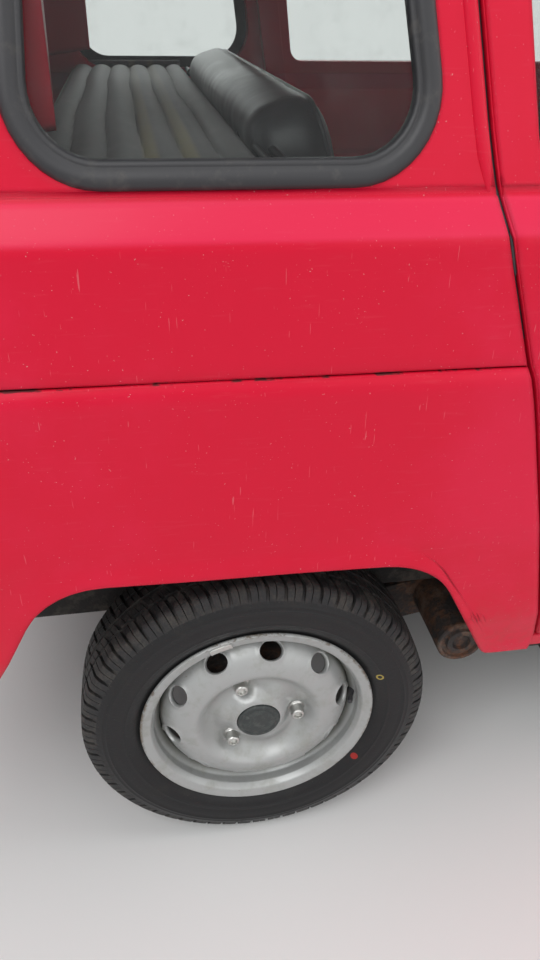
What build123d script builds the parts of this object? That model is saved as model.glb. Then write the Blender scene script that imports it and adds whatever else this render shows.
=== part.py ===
from build123d import *
from math import cos, radians, sin, sqrt
import os

os.makedirs("parts", exist_ok=True)

# A small five-door hatchback with a separate platform, flat sides and bolted wings.
# Millimetres. X points forward, Y to the left, Z up. The origin is on the ground below mid-length.

# Wheels and axles
TYRE_RADIUS = 270
TYRE_WIDTH = 145
RIM_SEAT_RADIUS = 165
FRONT_AXLE_X = 1246
REAR_AXLE_X_RIGHT = -1197
REAR_AXLE_X_LEFT = -1149
REAR_WHEEL_Y = 622
FRONT_WHEEL_Y = 640
KINGPIN_Y = 530
VENT_HOLES = 10
VENT_HALF_SIZES = (12, 19)
VENT_CIRCLE_RADIUS = 135
VENT_CUT = (30, 80)
BOLT_HOLES = 3
BOLT_CIRCLE_RADIUS = 65
BOLT_HOLE_RADIUS = 7
SPINDLE_RADIUS = 20
RUNNING_FIT = 0.05

# Body panels
WALL = 36
JAMB_DEPTH = 26
JAMB_OVERLAP = 24
PANEL_GAP = 5
DOOR_HEAD_GAP = 15
ROOF_THICKNESS = 22
ROOF_OVERHANG = 7
SIDE_BOW = 25
NOSE_BOW = 60
TAIL_BOW = 30
SCREEN_BOW = 45
SILL_HEIGHT = 370
DOOR_BOTTOM = 405
SEAM_HEIGHT = 870
SEAM_GAP = 1.5
SEAM_DEPTH = 12
CREASE_HEIGHT = 1015
WAIST_HEIGHT = 1052
GREENHOUSE_TOP = 1560
SIDE_REACH = 900

# Lower body: height, tail end, nose end, half width, tail corner radius, nose corner radius
LOWER_SECTIONS = [
    (SILL_HEIGHT, -1700, 1716, 690, 110, 150),
    (470, -1745, 1738, 722, 110, 160),
    (640, -1765, 1750, 740, 110, 170),
    (SEAM_HEIGHT - 14, -1768, 1752, 743, 110, 170),
    (SEAM_HEIGHT, -1762, 1748, 736, 110, 170),
    (CREASE_HEIGHT, -1752, 1748, 734, 110, 170),
    (WAIST_HEIGHT, -1738, 1726, 712, 100, 150),
]

# Greenhouse: the same columns
GREENHOUSE_SECTIONS = [
    (WAIST_HEIGHT, -1735, 880, 706, 130, 60),
    (GREENHOUSE_TOP, -1486, 509, 586, 130, 60),
]

# Roof crown in side view, and its radius across the car
CROWN_X = -300
CROWN_HEIGHT = 1545
ROOF_FRONT = (900, 1394)
ROOF_REAR = (-1700, 1435)
ROOF_CROSS_RADIUS = 3000

# Bonnet crown in side view: x, height, corner radius; and its radius across the car
BONNET_CROWN = [
    (700, 1066, 0),
    (900, 1050, 3000),
    (1330, 1000, 2000),
    (1754, 880, 110),
    (1820, 700, 0),
]
BONNET_CROSS_RADIUS = 6000
BONNET_HALF_WIDTH = 597.5
BONNET_REAR = 905
BONNET_BOTTOM = 553
BONNET_HINGE = (1756, 548)
BONNET_HINGE_Y = 330
GRILLE_HALF_WIDTH = 560
GRILLE_BOTTOM = 572
GRILLE_TOP = 788
GRILLE_BARS = 9
LAMP_RADIUS = 86
LAMP_Y = 455
LAMP_HEIGHT = 680

# Doors in side view
FRONT_DOOR_REAR_EDGE = -66
FRONT_DOOR_FRONT_EDGE = 831
REAR_DOOR_FRONT_EDGE = -80
SCREEN_RAKE = 0.73
DOOR_REAR_CURVE = [(-1030, 1480), (-955, 1050), (-880, 830), (-770, DOOR_BOTTOM)]
DOOR_CURVE_RADIUS = 900
FRONT_WINDOW = [(-21, 1080), (755, 1080), (572, 1335), (-21, 1405)]
REAR_WINDOW = [(-125, 1080), (-912, 1080), (-963, 1385), (-125, 1410)]
WINDOW_CORNER = 32
HINGE_HEIGHTS = (600, 955)
HINGE_Y = 746
HINGE_SETBACK = 4
KNUCKLE_RADIUS = 7
KNUCKLE_LENGTH = 12
KNUCKLE_GAP = 1
PIN_RADIUS = 3

# Quarter window: the outline of its rubber, whose band is this wide
QUARTER_WINDOW = [(-1008, 1063), (-1451, 1063), (-1427, 1375), (-1061, 1380)]
RUBBER_CORNER = 85
RUBBER_WIDTH = 24

# Windscreen and tailgate in end view
SCREEN_OPENING = [(-622, 1075), (622, 1075), (552, 1368), (-552, 1368)]
TAILGATE_HALF_WIDTH = 545
TAILGATE_BOTTOM = 478
TAIL_WINDOW = [(-480, 1085), (480, 1085), (440, 1345), (-440, 1345)]
TAILGATE_HINGE = (-1568, 1425)
TAILGATE_HINGE_Y = 330
TAIL_PANEL_HALF_WIDTH = 550

# Wheel arches: offset from the axle, height, corner radius; the feet of the panels are rounded
ARCH_FOOT = 366
REAR_ARCH = [
    (-450, ARCH_FOOT, 0),
    (-393, ARCH_FOOT, 35),
    (-275, 601, 115),
    (224, 596, 115),
    (349, ARCH_FOOT, 35),
    (400, ARCH_FOOT, 0),
]
FRONT_ARCH = [
    (-400, ARCH_FOOT, 0),
    (-349, ARCH_FOOT, 35),
    (-240, 606, 130),
    (240, 606, 130),
    (349, ARCH_FOOT, 35),
    (400, ARCH_FOOT, 0),
]
HOUSING_WALL = 10
REAR_HOUSING_Y = 515
FRONT_HOUSING_Y = 400
FRONT_SHELF_HEIGHT = 655

# Platform
FLOOR_TOP = 310
FLOOR_THICKNESS = 24
BOOT_FLOOR_TOP = 450
KICK_UP_X = -730
BULKHEAD_X = FRONT_DOOR_FRONT_EDGE + PANEL_GAP
BULKHEAD_THICKNESS = 12
RAIL_WIDTH = 64

# Suspension
PIVOT_OFFSET_X = 345
PIVOT_HEIGHT = 330
PIVOT_RADIUS = 40
PIVOT_END_Y = 620
STEERING_ARM = 120
RACK_HEIGHT = 262

# Cabin
DRIVER_Y = 350
COLUMN_RAKE = 32
STEERING_WHEEL_CENTRE = (455, DRIVER_Y, 900)
STEERING_WHEEL_RADIUS = 195


def plan_outline(height, tail, nose, half_width, tail_corner, nose_corner, nose_bow):
    """Plan section of the body: four bowed sides joined by round corners."""
    middle = (tail + nose) / 2
    edge = half_width - SIDE_BOW
    with BuildSketch(Plane.XY.offset(height)) as outline:
        with BuildLine():
            ThreePointArc((tail + TAIL_BOW, -edge), (middle, -half_width), (nose - nose_bow, -edge))
            ThreePointArc((nose - nose_bow, -edge), (nose, 0), (nose - nose_bow, edge))
            ThreePointArc((nose - nose_bow, edge), (middle, half_width), (tail + TAIL_BOW, edge))
            ThreePointArc((tail + TAIL_BOW, edge), (tail, 0), (tail + TAIL_BOW, -edge))
        make_face()
        fillet(outline.vertices().group_by(Axis.X)[0], radius=tail_corner)
        fillet(outline.vertices().group_by(Axis.X)[-1], radius=nose_corner)
    return outline.sketch


def body_form(sections, inset, nose_bow):
    """Solid through a table of plan sections, drawn in by the inset on every side."""
    outlines = [
        plan_outline(
            height,
            tail + inset,
            nose - inset,
            half_width - inset,
            max(tail_corner - inset, 20),
            max(nose_corner - inset, 20),
            nose_bow,
        )
        for height, tail, nose, half_width, tail_corner, nose_corner in sections
    ]
    with BuildPart() as form:
        loft(outlines, ruled=True)
    return form.part


def lower_form(inset):
    """Lower body, from the sill to the waist."""
    return body_form(LOWER_SECTIONS, inset, NOSE_BOW)


def greenhouse_form(inset):
    """Greenhouse, from the waist to above the roof."""
    return body_form(GREENHOUSE_SECTIONS, inset, SCREEN_BOW)


def whole_form(inset):
    """Lower body and greenhouse as one solid."""
    with BuildPart() as form:
        add(lower_form(inset))
        add(greenhouse_form(inset))
    return form.part


def roof_layer(lowest, highest):
    """Layer between two offsets from the crown of the roof, arched across the car."""
    front_x, front_z = ROOF_FRONT
    rear_x, rear_z = ROOF_REAR
    with BuildPart() as layer:
        with BuildSketch(Plane.XZ):
            with BuildLine():
                TangentArc((CROWN_X, CROWN_HEIGHT + highest), (front_x, front_z + highest), tangent=(1, 0))
                Line((front_x, front_z + highest), (front_x, front_z + lowest))
                TangentArc((CROWN_X, CROWN_HEIGHT + lowest), (front_x, front_z + lowest), tangent=(1, 0))
                TangentArc((CROWN_X, CROWN_HEIGHT + lowest), (rear_x, rear_z + lowest), tangent=(-1, 0))
                Line((rear_x, rear_z + lowest), (rear_x, rear_z + highest))
                TangentArc((CROWN_X, CROWN_HEIGHT + highest), (rear_x, rear_z + highest), tangent=(-1, 0))
            make_face()
        revolve(axis=Axis((0, 0, CROWN_HEIGHT - ROOF_CROSS_RADIUS), (1, 0, 0)), revolution_arc=16)
        mirror(about=Plane.XZ)
    return layer.part


def bonnet_block(drop):
    """Everything below the crown of the bonnet, lowered by the drop."""
    with BuildPart() as block:
        with BuildSketch(Plane.XZ):
            points = [(x, height - drop) for x, height, _ in BONNET_CROWN]
            first_x, last_x = points[0][0], points[-1][0]
            with BuildLine():
                FilletPolyline(*points, radius=[radius for _, _, radius in BONNET_CROWN[1:-1]])
                Polyline(points[-1], (last_x, 200), (first_x, 200), points[0])
            make_face()
        crown = BONNET_CROWN[0][1]
        revolve(axis=Axis((0, 0, crown - BONNET_CROSS_RADIUS), (1, 0, 0)), revolution_arc=9)
        mirror(about=Plane.XZ)
    return block.part


def side_prism(points, radius=0.0, margin=0.0):
    """Side-view outline, drawn in by a margin, carried out to the right of the car."""
    with BuildPart() as prism:
        with BuildSketch(Plane.XZ) as outline:
            with BuildLine():
                Polyline(*points, close=True)
            make_face()
            if radius:
                fillet(outline.vertices(), radius=radius)
            if margin:
                offset(amount=-margin)
        extrude(amount=SIDE_REACH)
    return prism.part


def end_prism(points, radius, start, end, margin=0.0):
    """End-view outline, drawn in by a margin, carried along the car between two stations."""
    with BuildPart() as prism:
        with BuildSketch(Plane.YZ.offset(start)) as outline:
            with BuildLine():
                Polyline(*points, close=True)
            make_face()
            if radius:
                fillet(outline.vertices(), radius=radius)
            if margin:
                offset(amount=-margin)
        extrude(amount=end - start)
    return prism.part


def block(x_range, y_range, z_range):
    """Plain cutting block between limits on each axis."""
    sizes = [high - low for low, high in (x_range, y_range, z_range)]
    centre = [(low + high) / 2 for low, high in (x_range, y_range, z_range)]
    with BuildPart() as cutter:
        with Locations(Vector(*centre)):
            Box(*sizes)
    return cutter.part


def cylinder_y(x, z, radius, y_from, y_to):
    """Cylinder across the car between two widths."""
    with BuildPart() as bar:
        with BuildSketch(Plane.XZ.offset(-y_from)):
            with Locations((x, z)):
                Circle(radius)
        extrude(amount=y_from - y_to)
    return bar.part


def arch_points(arch, axle_x):
    """Arch outline at an axle, with its corner radii."""
    return [(axle_x + x, height) for x, height, _ in arch]


def arch_prism(arch, axle_x, inner_y, outer_y, grow=0.0):
    """Arch outline carried between two widths on the right side."""
    with BuildPart() as prism:
        with BuildSketch(Plane.XZ.offset(inner_y)):
            points = arch_points(arch, axle_x)
            with BuildLine():
                FilletPolyline(*points, radius=[radius for _, _, radius in arch[1:-1]])
                below = ARCH_FOOT - HOUSING_WALL
                Polyline(points[-1], (points[-1][0], below), (points[0][0], below), points[0])
            make_face()
            if grow:
                offset(amount=grow, kind=Kind.ARC)
        extrude(amount=outer_y - inner_y)
    return prism.part


def common(*shapes):
    """The space that all the shapes share."""
    with BuildPart() as shared:
        add(shapes[0])
        for shape in shapes[1:]:
            add(shape, mode=Mode.INTERSECT)
    return shared.part


def less(shape, *cutters):
    """The shape with every cutter taken away."""
    with BuildPart() as rest:
        add(shape)
        for cutter in cutters:
            add(cutter, mode=Mode.SUBTRACT)
    return rest.part


# Forms that the panels are cut from
lower_outer = lower_form(0)
lower_inner = lower_form(WALL)
green_outer = greenhouse_form(0)
green_inner = greenhouse_form(WALL)
outer = whole_form(0)
inner = whole_form(WALL)
jamb_inner = whole_form(WALL + JAMB_DEPTH)
above_roof = roof_layer(-ROOF_THICKNESS, 250)
above_doors = roof_layer(-ROOF_THICKNESS - DOOR_HEAD_GAP, 250)
above_tailgate = roof_layer(-ROOF_THICKNESS - PANEL_GAP, 250)
skin = less(outer, inner)
jamb_skin = less(inner, jamb_inner)

# Door outlines
front_edge_top = FRONT_DOOR_FRONT_EDGE - SCREEN_RAKE * (GREENHOUSE_TOP - WAIST_HEIGHT)
FRONT_DOOR = [
    (FRONT_DOOR_REAR_EDGE, DOOR_BOTTOM),
    (FRONT_DOOR_FRONT_EDGE, DOOR_BOTTOM),
    (FRONT_DOOR_FRONT_EDGE, WAIST_HEIGHT),
    (front_edge_top, GREENHOUSE_TOP),
    (FRONT_DOOR_REAR_EDGE, GREENHOUSE_TOP),
]


def rear_door_prism(grow=0.0):
    """Rear door in side view, with its swept rear edge."""
    curve = [(x - grow, height) for x, height in DOOR_REAR_CURVE]
    top = (curve[0][0] - 14, GREENHOUSE_TOP)
    bottom = (curve[-1][0] + grow * 0.25, DOOR_BOTTOM - grow)
    path = [top, *curve[:-1], bottom]
    front = REAR_DOOR_FRONT_EDGE + grow
    with BuildPart() as prism:
        with BuildSketch(Plane.XZ):
            with BuildLine():
                FilletPolyline(*path, radius=[DOOR_CURVE_RADIUS * 4, DOOR_CURVE_RADIUS, DOOR_CURVE_RADIUS])
                Polyline(bottom, (front, DOOR_BOTTOM - grow), (front, GREENHOUSE_TOP), top)
            make_face()
        extrude(amount=SIDE_REACH)
    return prism.part


# Hinges: a frame whose Z is the pin and whose Y points out of the body
def hinge_moving(frame, leaf):
    """Two bored knuckles and the leaf, an outline, that joins them to the moving panel."""
    middle = KNUCKLE_LENGTH + KNUCKLE_GAP
    with BuildPart() as knuckles:
        for side in (-1, 1):
            with BuildSketch(frame.offset(side * middle - KNUCKLE_LENGTH / 2)):
                Circle(KNUCKLE_RADIUS)
                with BuildLine():
                    Polyline(*leaf, close=True)
                make_face()
                Circle(PIN_RADIUS + RUNNING_FIT, mode=Mode.SUBTRACT)
            extrude(amount=KNUCKLE_LENGTH)
    return knuckles.part


def hinge_fixed(frame, finger_x, finger_y):
    """One knuckle with its pin, on a finger that comes out of the fixed body."""
    half = KNUCKLE_LENGTH / 2
    reach = 1.5 * KNUCKLE_LENGTH + KNUCKLE_GAP
    with BuildPart() as knuckle:
        with BuildSketch(frame.offset(-half)):
            Circle(KNUCKLE_RADIUS)
            with Locations(((finger_x[0] + finger_x[1]) / 2, (finger_y[0] + finger_y[1]) / 2)):
                Rectangle(finger_x[1] - finger_x[0], finger_y[1] - finger_y[0])
        extrude(amount=KNUCKLE_LENGTH)
        with BuildSketch(frame.offset(-reach)):
            Circle(PIN_RADIUS)
        extrude(amount=2 * reach)
    return knuckle.part


def door_hinge_frames(front_edge):
    """Frames of a right door's hinges: local X forward, local Y outward."""
    x = front_edge - HINGE_SETBACK
    return [Plane((x, -HINGE_Y, z), x_dir=(1, 0, 0), z_dir=(0, 0, -1)) for z in HINGE_HEIGHTS]


front_hinges = door_hinge_frames(FRONT_DOOR_FRONT_EDGE)
rear_hinges = door_hinge_frames(REAR_DOOR_FRONT_EDGE)
FINGER = ((-4, 4), (-60, 0))
LEAF = [(-2, 0), (-26, 0), (-26, -26), (-2, -26)]
TAILGATE_LEAF = [(-2, -5), (-2, 4), (-14, 4), (-14, 18), (-36, 18), (-36, -5)]
BONNET_LEAF = [(0, -2), (20, -2), (20, -36), (0, -36)]
NOTCH_HALF = KNUCKLE_LENGTH / 2 + PANEL_GAP


def hinge_notches(front_edge):
    """Clearance in a door's front edge for the fingers of its hinges."""
    x = front_edge - HINGE_SETBACK
    return [block((x - 10, x + 20), (-790, -660), (z - NOTCH_HALF, z + NOTCH_HALF)) for z in HINGE_HEIGHTS]


def side_zone(inner_y):
    """Everything on the right outside a line that leans in with the side glass."""
    lean = (GREENHOUSE_SECTIONS[0][3] - GREENHOUSE_SECTIONS[1][3]) / (GREENHOUSE_TOP - WAIST_HEIGHT)
    top_y = inner_y - lean * (GREENHOUSE_TOP - WAIST_HEIGHT)
    outline = [
        (-SIDE_REACH, 200),
        (-inner_y, 200),
        (-inner_y, WAIST_HEIGHT),
        (-top_y, GREENHOUSE_TOP),
        (-SIDE_REACH, GREENHOUSE_TOP),
    ]
    return end_prism(outline, 0, -1200, 1000)


DOOR_ZONE_Y = 640
JAMB_ZONE_Y = 614
door_zone = side_zone(DOOR_ZONE_Y)
jamb_zone = side_zone(JAMB_ZONE_Y)

# Right doors
door_block = block((-1200, 900), (-SIDE_REACH, 0), (DOOR_BOTTOM, GREENHOUSE_TOP))
door_skin = common(less(skin, above_doors), door_block, door_zone)

with BuildPart() as door_front_right:
    add(door_skin)
    add(side_prism(FRONT_DOOR), mode=Mode.INTERSECT)
    add(side_prism(FRONT_WINDOW, WINDOW_CORNER), mode=Mode.SUBTRACT)
    for notch in hinge_notches(FRONT_DOOR_FRONT_EDGE):
        add(notch, mode=Mode.SUBTRACT)
    for hinge in front_hinges:
        add(hinge_moving(hinge, LEAF))
door_front_right.part.label = "door_front_right"

with BuildPart() as door_rear_right:
    add(door_skin)
    add(rear_door_prism(), mode=Mode.INTERSECT)
    add(side_prism(REAR_WINDOW, WINDOW_CORNER), mode=Mode.SUBTRACT)
    for notch in hinge_notches(REAR_DOOR_FRONT_EDGE):
        add(notch, mode=Mode.SUBTRACT)
    for hinge in rear_hinges:
        add(hinge_moving(hinge, LEAF))
door_rear_right.part.label = "door_rear_right"

with BuildPart() as door_front_left:
    mirror(door_front_right.part, about=Plane.XZ)
door_front_left.part.label = "door_front_left"

with BuildPart() as door_rear_left:
    mirror(door_rear_right.part, about=Plane.XZ)
door_rear_left.part.label = "door_rear_left"

# Sliding panes: the front one runs outside the rear one
PANE_THICKNESS = 4
PANE_OUTER_INSET = 12
PANE_INNER_INSET = 20
PANE_OVERLAP = 20
GLASS_FIT = 0.2


def greenhouse_layer(inset, thickness):
    """Layer of the greenhouse form that starts at an inset."""
    return less(greenhouse_form(inset), greenhouse_form(inset + thickness))


outer_pane_layer = greenhouse_layer(PANE_OUTER_INSET, PANE_THICKNESS)
inner_pane_layer = greenhouse_layer(PANE_INNER_INSET, PANE_THICKNESS)


def sliding_panes(window):
    """Two overlapping panes of a door window."""
    opening = side_prism(window, WINDOW_CORNER, GLASS_FIT)
    middle = (window[0][0] + window[1][0]) / 2
    low, high = sorted((window[0][0], window[1][0]))
    heights = (WAIST_HEIGHT, GREENHOUSE_TOP)
    with BuildPart() as panes:
        front_half = block((middle - PANE_OVERLAP, high + 60), (-SIDE_REACH, 0), heights)
        rear_half = block((low - 60, middle + PANE_OVERLAP), (-SIDE_REACH, 0), heights)
        add(common(outer_pane_layer, opening, front_half))
        add(common(inner_pane_layer, opening, rear_half))
    return panes.part


with BuildPart() as door_glass_front_right:
    add(sliding_panes(FRONT_WINDOW))
door_glass_front_right.part.label = "door_glass_front_right"

with BuildPart() as door_glass_rear_right:
    add(sliding_panes(REAR_WINDOW))
door_glass_rear_right.part.label = "door_glass_rear_right"

with BuildPart() as door_glass_front_left:
    mirror(door_glass_front_right.part, about=Plane.XZ)
door_glass_front_left.part.label = "door_glass_front_left"

with BuildPart() as door_glass_rear_left:
    mirror(door_glass_rear_right.part, about=Plane.XZ)
door_glass_rear_left.part.label = "door_glass_rear_left"

# Side frames: rear quarter above the seam, door jambs, sill and hinge fingers
JAMB_REAR_GROW = 24
TAIL_REACH = -1400
TAIL_END = -1800
above_jamb_head = roof_layer(-ROOF_THICKNESS - DOOR_HEAD_GAP - JAMB_OVERLAP, 250)
front_opening = less(
    side_prism(
        [
            (FRONT_DOOR_REAR_EDGE + JAMB_OVERLAP, DOOR_BOTTOM + JAMB_OVERLAP),
            (FRONT_DOOR_FRONT_EDGE - JAMB_OVERLAP, DOOR_BOTTOM + JAMB_OVERLAP),
            (FRONT_DOOR_FRONT_EDGE - JAMB_OVERLAP, WAIST_HEIGHT),
            (front_edge_top - JAMB_OVERLAP, GREENHOUSE_TOP),
            (FRONT_DOOR_REAR_EDGE + JAMB_OVERLAP, GREENHOUSE_TOP),
        ]
    ),
    above_jamb_head,
)
rear_opening = less(rear_door_prism(-JAMB_OVERLAP), above_jamb_head)
jamb_front_region = side_prism(
    [
        (FRONT_DOOR_REAR_EDGE, SILL_HEIGHT),
        (BULKHEAD_X, SILL_HEIGHT),
        (BULKHEAD_X, WAIST_HEIGHT),
        (front_edge_top + BULKHEAD_X - FRONT_DOOR_FRONT_EDGE, GREENHOUSE_TOP),
        (FRONT_DOOR_REAR_EDGE, GREENHOUSE_TOP),
    ]
)
SILL_REAR = DOOR_REAR_CURVE[-1][0] - PANEL_GAP
SILL_FRONT = FRONT_DOOR_FRONT_EDGE + PANEL_GAP
TAIL_ZONE = block((TAIL_END, TAIL_REACH), (-TAIL_PANEL_HALF_WIDTH, 0), (SILL_HEIGHT, GREENHOUSE_TOP))
SILL_OUTSIDE_Z = (SILL_HEIGHT, DOOR_BOTTOM - PANEL_GAP)

with BuildPart() as side_frame_right:
    add(common(skin, block((TAIL_END, -860), (-SIDE_REACH, 0), (SEAM_HEIGHT, GREENHOUSE_TOP))))
    add(rear_door_prism(PANEL_GAP), mode=Mode.SUBTRACT)
    add(TAIL_ZONE, mode=Mode.SUBTRACT)
    add(side_prism(QUARTER_WINDOW, RUBBER_CORNER), mode=Mode.SUBTRACT)
    add(common(jamb_skin, rear_door_prism(JAMB_REAR_GROW), jamb_zone))
    add(common(jamb_skin, jamb_front_region, jamb_zone))
    add(common(jamb_skin, block((SILL_REAR, BULKHEAD_X), (-SIDE_REACH, 0), (SILL_HEIGHT, DOOR_BOTTOM))))
    add(front_opening, mode=Mode.SUBTRACT)
    add(rear_opening, mode=Mode.SUBTRACT)
    add(above_roof, mode=Mode.SUBTRACT)
    add(common(skin, block((SILL_REAR, SILL_FRONT), (-SIDE_REACH, 0), SILL_OUTSIDE_Z)))
    for hinge in front_hinges + rear_hinges:
        add(hinge_fixed(hinge, *FINGER))
side_frame_right.part.label = "side_frame_right"

with BuildPart() as side_frame_left:
    mirror(side_frame_right.part, about=Plane.XZ)
side_frame_left.part.label = "side_frame_left"


def cross_hinge_frames(place, y):
    """Frames of a lid's two hinges across the car: local X up, local Y forward."""
    return [Plane((place[0], side * y, place[1]), x_dir=(0, 0, 1), z_dir=(0, 1, 0)) for side in (-1, 1)]


# Roof
tailgate_hinges = cross_hinge_frames(TAILGATE_HINGE, TAILGATE_HINGE_Y)
with BuildPart() as roof:
    add(common(roof_layer(-ROOF_THICKNESS, 0), greenhouse_form(-ROOF_OVERHANG)))
    for hinge in tailgate_hinges:
        add(hinge_fixed(hinge, (-2, 8), (0, 36)))
roof.part.label = "roof"

# Windscreen frame: pillars, header, cowl wedge and scuttle
front_outer = common(lower_outer, bonnet_block(0))
BONNET_SKIN = 24
front_inner = common(lower_inner, bonnet_block(BONNET_SKIN))
front_skin = less(front_outer, front_inner)
WEDGE_FRONT = 882
COWL_BOTTOM = 960
SCREEN_X = (450, 1000)
NOSE_END = 1850
NOSE_TOP = 1100
BETWEEN_WINGS_Y = (-BONNET_HALF_WIDTH - PANEL_GAP, BONNET_HALF_WIDTH + PANEL_GAP)
door_side_outline = [
    (SILL_FRONT, WAIST_HEIGHT - 1),
    (SILL_FRONT, WAIST_HEIGHT),
    (SILL_FRONT - SCREEN_RAKE * (GREENHOUSE_TOP - WAIST_HEIGHT), GREENHOUSE_TOP),
    (400, GREENHOUSE_TOP),
    (400, WAIST_HEIGHT - 1),
]

door_side = common(side_prism(door_side_outline), jamb_zone)
with BuildPart() as windscreen_frame:
    pillar_zone = block(SCREEN_X, (-SIDE_REACH, SIDE_REACH), (WAIST_HEIGHT, GREENHOUSE_TOP))
    add(common(less(green_outer, green_inner), pillar_zone))
    add(door_side, mode=Mode.SUBTRACT)
    add(mirror(door_side, about=Plane.XZ, mode=Mode.PRIVATE), mode=Mode.SUBTRACT)
    add(end_prism(SCREEN_OPENING, RUBBER_CORNER, *SCREEN_X), mode=Mode.SUBTRACT)
    add(above_roof, mode=Mode.SUBTRACT)
    wedge = block((SILL_FRONT, WEDGE_FRONT), (-SIDE_REACH, SIDE_REACH), (COWL_BOTTOM, WAIST_HEIGHT))
    add(less(common(lower_outer, wedge), bonnet_block(0)))
    scuttle_x = (SILL_FRONT, BONNET_REAR - PANEL_GAP)
    add(common(front_skin, block(scuttle_x, BETWEEN_WINGS_Y, (COWL_BOTTOM, NOSE_TOP))))
windscreen_frame.part.label = "windscreen_frame"


# Bolted wings, with a groove below the seam
ARCH_Y = (400, 800)
seam_zone = block((TAIL_END, KICK_UP_X), (-SIDE_REACH, SIDE_REACH), (SEAM_HEIGHT - SEAM_GAP, SEAM_HEIGHT))
seam_groove = less(seam_zone, lower_form(SEAM_DEPTH))


def rear_wing(axle_x):
    """Right rear wing below the seam, with its arch over the given axle."""
    with BuildPart() as wing:
        add(common(skin, block((TAIL_END, SILL_REAR), (-SIDE_REACH, 0), (SILL_HEIGHT, SEAM_HEIGHT))))
        add(rear_door_prism(PANEL_GAP), mode=Mode.SUBTRACT)
        add(TAIL_ZONE, mode=Mode.SUBTRACT)
        add(arch_prism(REAR_ARCH, axle_x, *ARCH_Y), mode=Mode.SUBTRACT)
        add(seam_groove, mode=Mode.SUBTRACT)
    return wing.part


with BuildPart() as rear_wings:
    add(rear_wing(REAR_AXLE_X_RIGHT))
    mirror(rear_wing(REAR_AXLE_X_LEFT), about=Plane.XZ)
rear_wings.part.label = "rear_wings"

with BuildPart() as front_wings:
    wing_zone = block((SILL_FRONT, NOSE_END), (-SIDE_REACH, BETWEEN_WINGS_Y[0]), (SILL_HEIGHT, NOSE_TOP))
    add(common(front_skin, wing_zone))
    add(arch_prism(FRONT_ARCH, FRONT_AXLE_X, *ARCH_Y), mode=Mode.SUBTRACT)
    mirror(about=Plane.XZ)
front_wings.part.label = "front_wings"

bonnet_hinges = cross_hinge_frames(BONNET_HINGE, BONNET_HINGE_Y)
FRONT_PANEL_TOP = 543
NOSE_START = 1450
NOSE_X = (NOSE_START, NOSE_END)
with BuildPart() as front_panel:
    add(common(front_skin, block(NOSE_X, BETWEEN_WINGS_Y, (SILL_HEIGHT, FRONT_PANEL_TOP))))
    for hinge in bonnet_hinges:
        add(hinge_fixed(hinge, (-30, 0), (-36, -2)))
front_panel.part.label = "front_panel"

with BuildPart() as bonnet:
    bonnet_y = (-BONNET_HALF_WIDTH, BONNET_HALF_WIDTH)
    add(common(front_skin, block((BONNET_REAR, NOSE_END), bonnet_y, (BONNET_BOTTOM, NOSE_TOP))))
    grille_y = (-GRILLE_HALF_WIDTH, GRILLE_HALF_WIDTH)
    add(block(NOSE_X, grille_y, (GRILLE_BOTTOM, GRILLE_TOP)), mode=Mode.SUBTRACT)
    for hinge in bonnet_hinges:
        add(hinge_moving(hinge, BONNET_LEAF))
bonnet.part.label = "bonnet"

# Grille: bars between the lamp holes, in a frame that follows the nose
GRILLE_FRAME = 12
BAR_HEIGHT = 9
LAMP_CLEARANCE = 12
LAMP_RING = 6
GRILLE_INSET = 5
GRILLE_DEPTH = 10
grille_layer = less(lower_form(GRILLE_INSET), lower_form(GRILLE_INSET + GRILLE_DEPTH))
bar_pitch = (GRILLE_TOP - GRILLE_BOTTOM - GRILLE_FRAME) / (GRILLE_BARS + 1)
lamp_places = [(-LAMP_Y, LAMP_HEIGHT), (LAMP_Y, LAMP_HEIGHT)]


def nose_cylinder(radius):
    """Cylinders along the car at both headlamp places."""
    with BuildPart() as cylinders:
        with BuildSketch(Plane.YZ.offset(NOSE_START)):
            with Locations(*lamp_places):
                Circle(radius)
        extrude(amount=NOSE_END - NOSE_START)
    return cylinders.part


with BuildPart() as grille_bars:
    with BuildSketch(Plane.YZ.offset(NOSE_START)):
        with Locations((0, (GRILLE_BOTTOM + GRILLE_TOP) / 2)):
            Rectangle(2 * GRILLE_HALF_WIDTH, GRILLE_TOP - GRILLE_BOTTOM)
            Rectangle(
                2 * (GRILLE_HALF_WIDTH - GRILLE_FRAME),
                GRILLE_TOP - GRILLE_BOTTOM - 2 * GRILLE_FRAME,
                mode=Mode.SUBTRACT,
            )
        for bar in range(GRILLE_BARS):
            with Locations((0, GRILLE_BOTTOM + GRILLE_FRAME / 2 + (bar + 1) * bar_pitch)):
                Rectangle(2 * GRILLE_HALF_WIDTH, BAR_HEIGHT)
        with Locations(*lamp_places):
            Circle(LAMP_RADIUS + LAMP_CLEARANCE + LAMP_RING)
    extrude(amount=NOSE_END - NOSE_START)
with BuildPart() as grille:
    add(common(grille_bars.part, grille_layer))
    add(nose_cylinder(LAMP_RADIUS + LAMP_CLEARANCE), mode=Mode.SUBTRACT)
grille.part.label = "grille"

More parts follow.
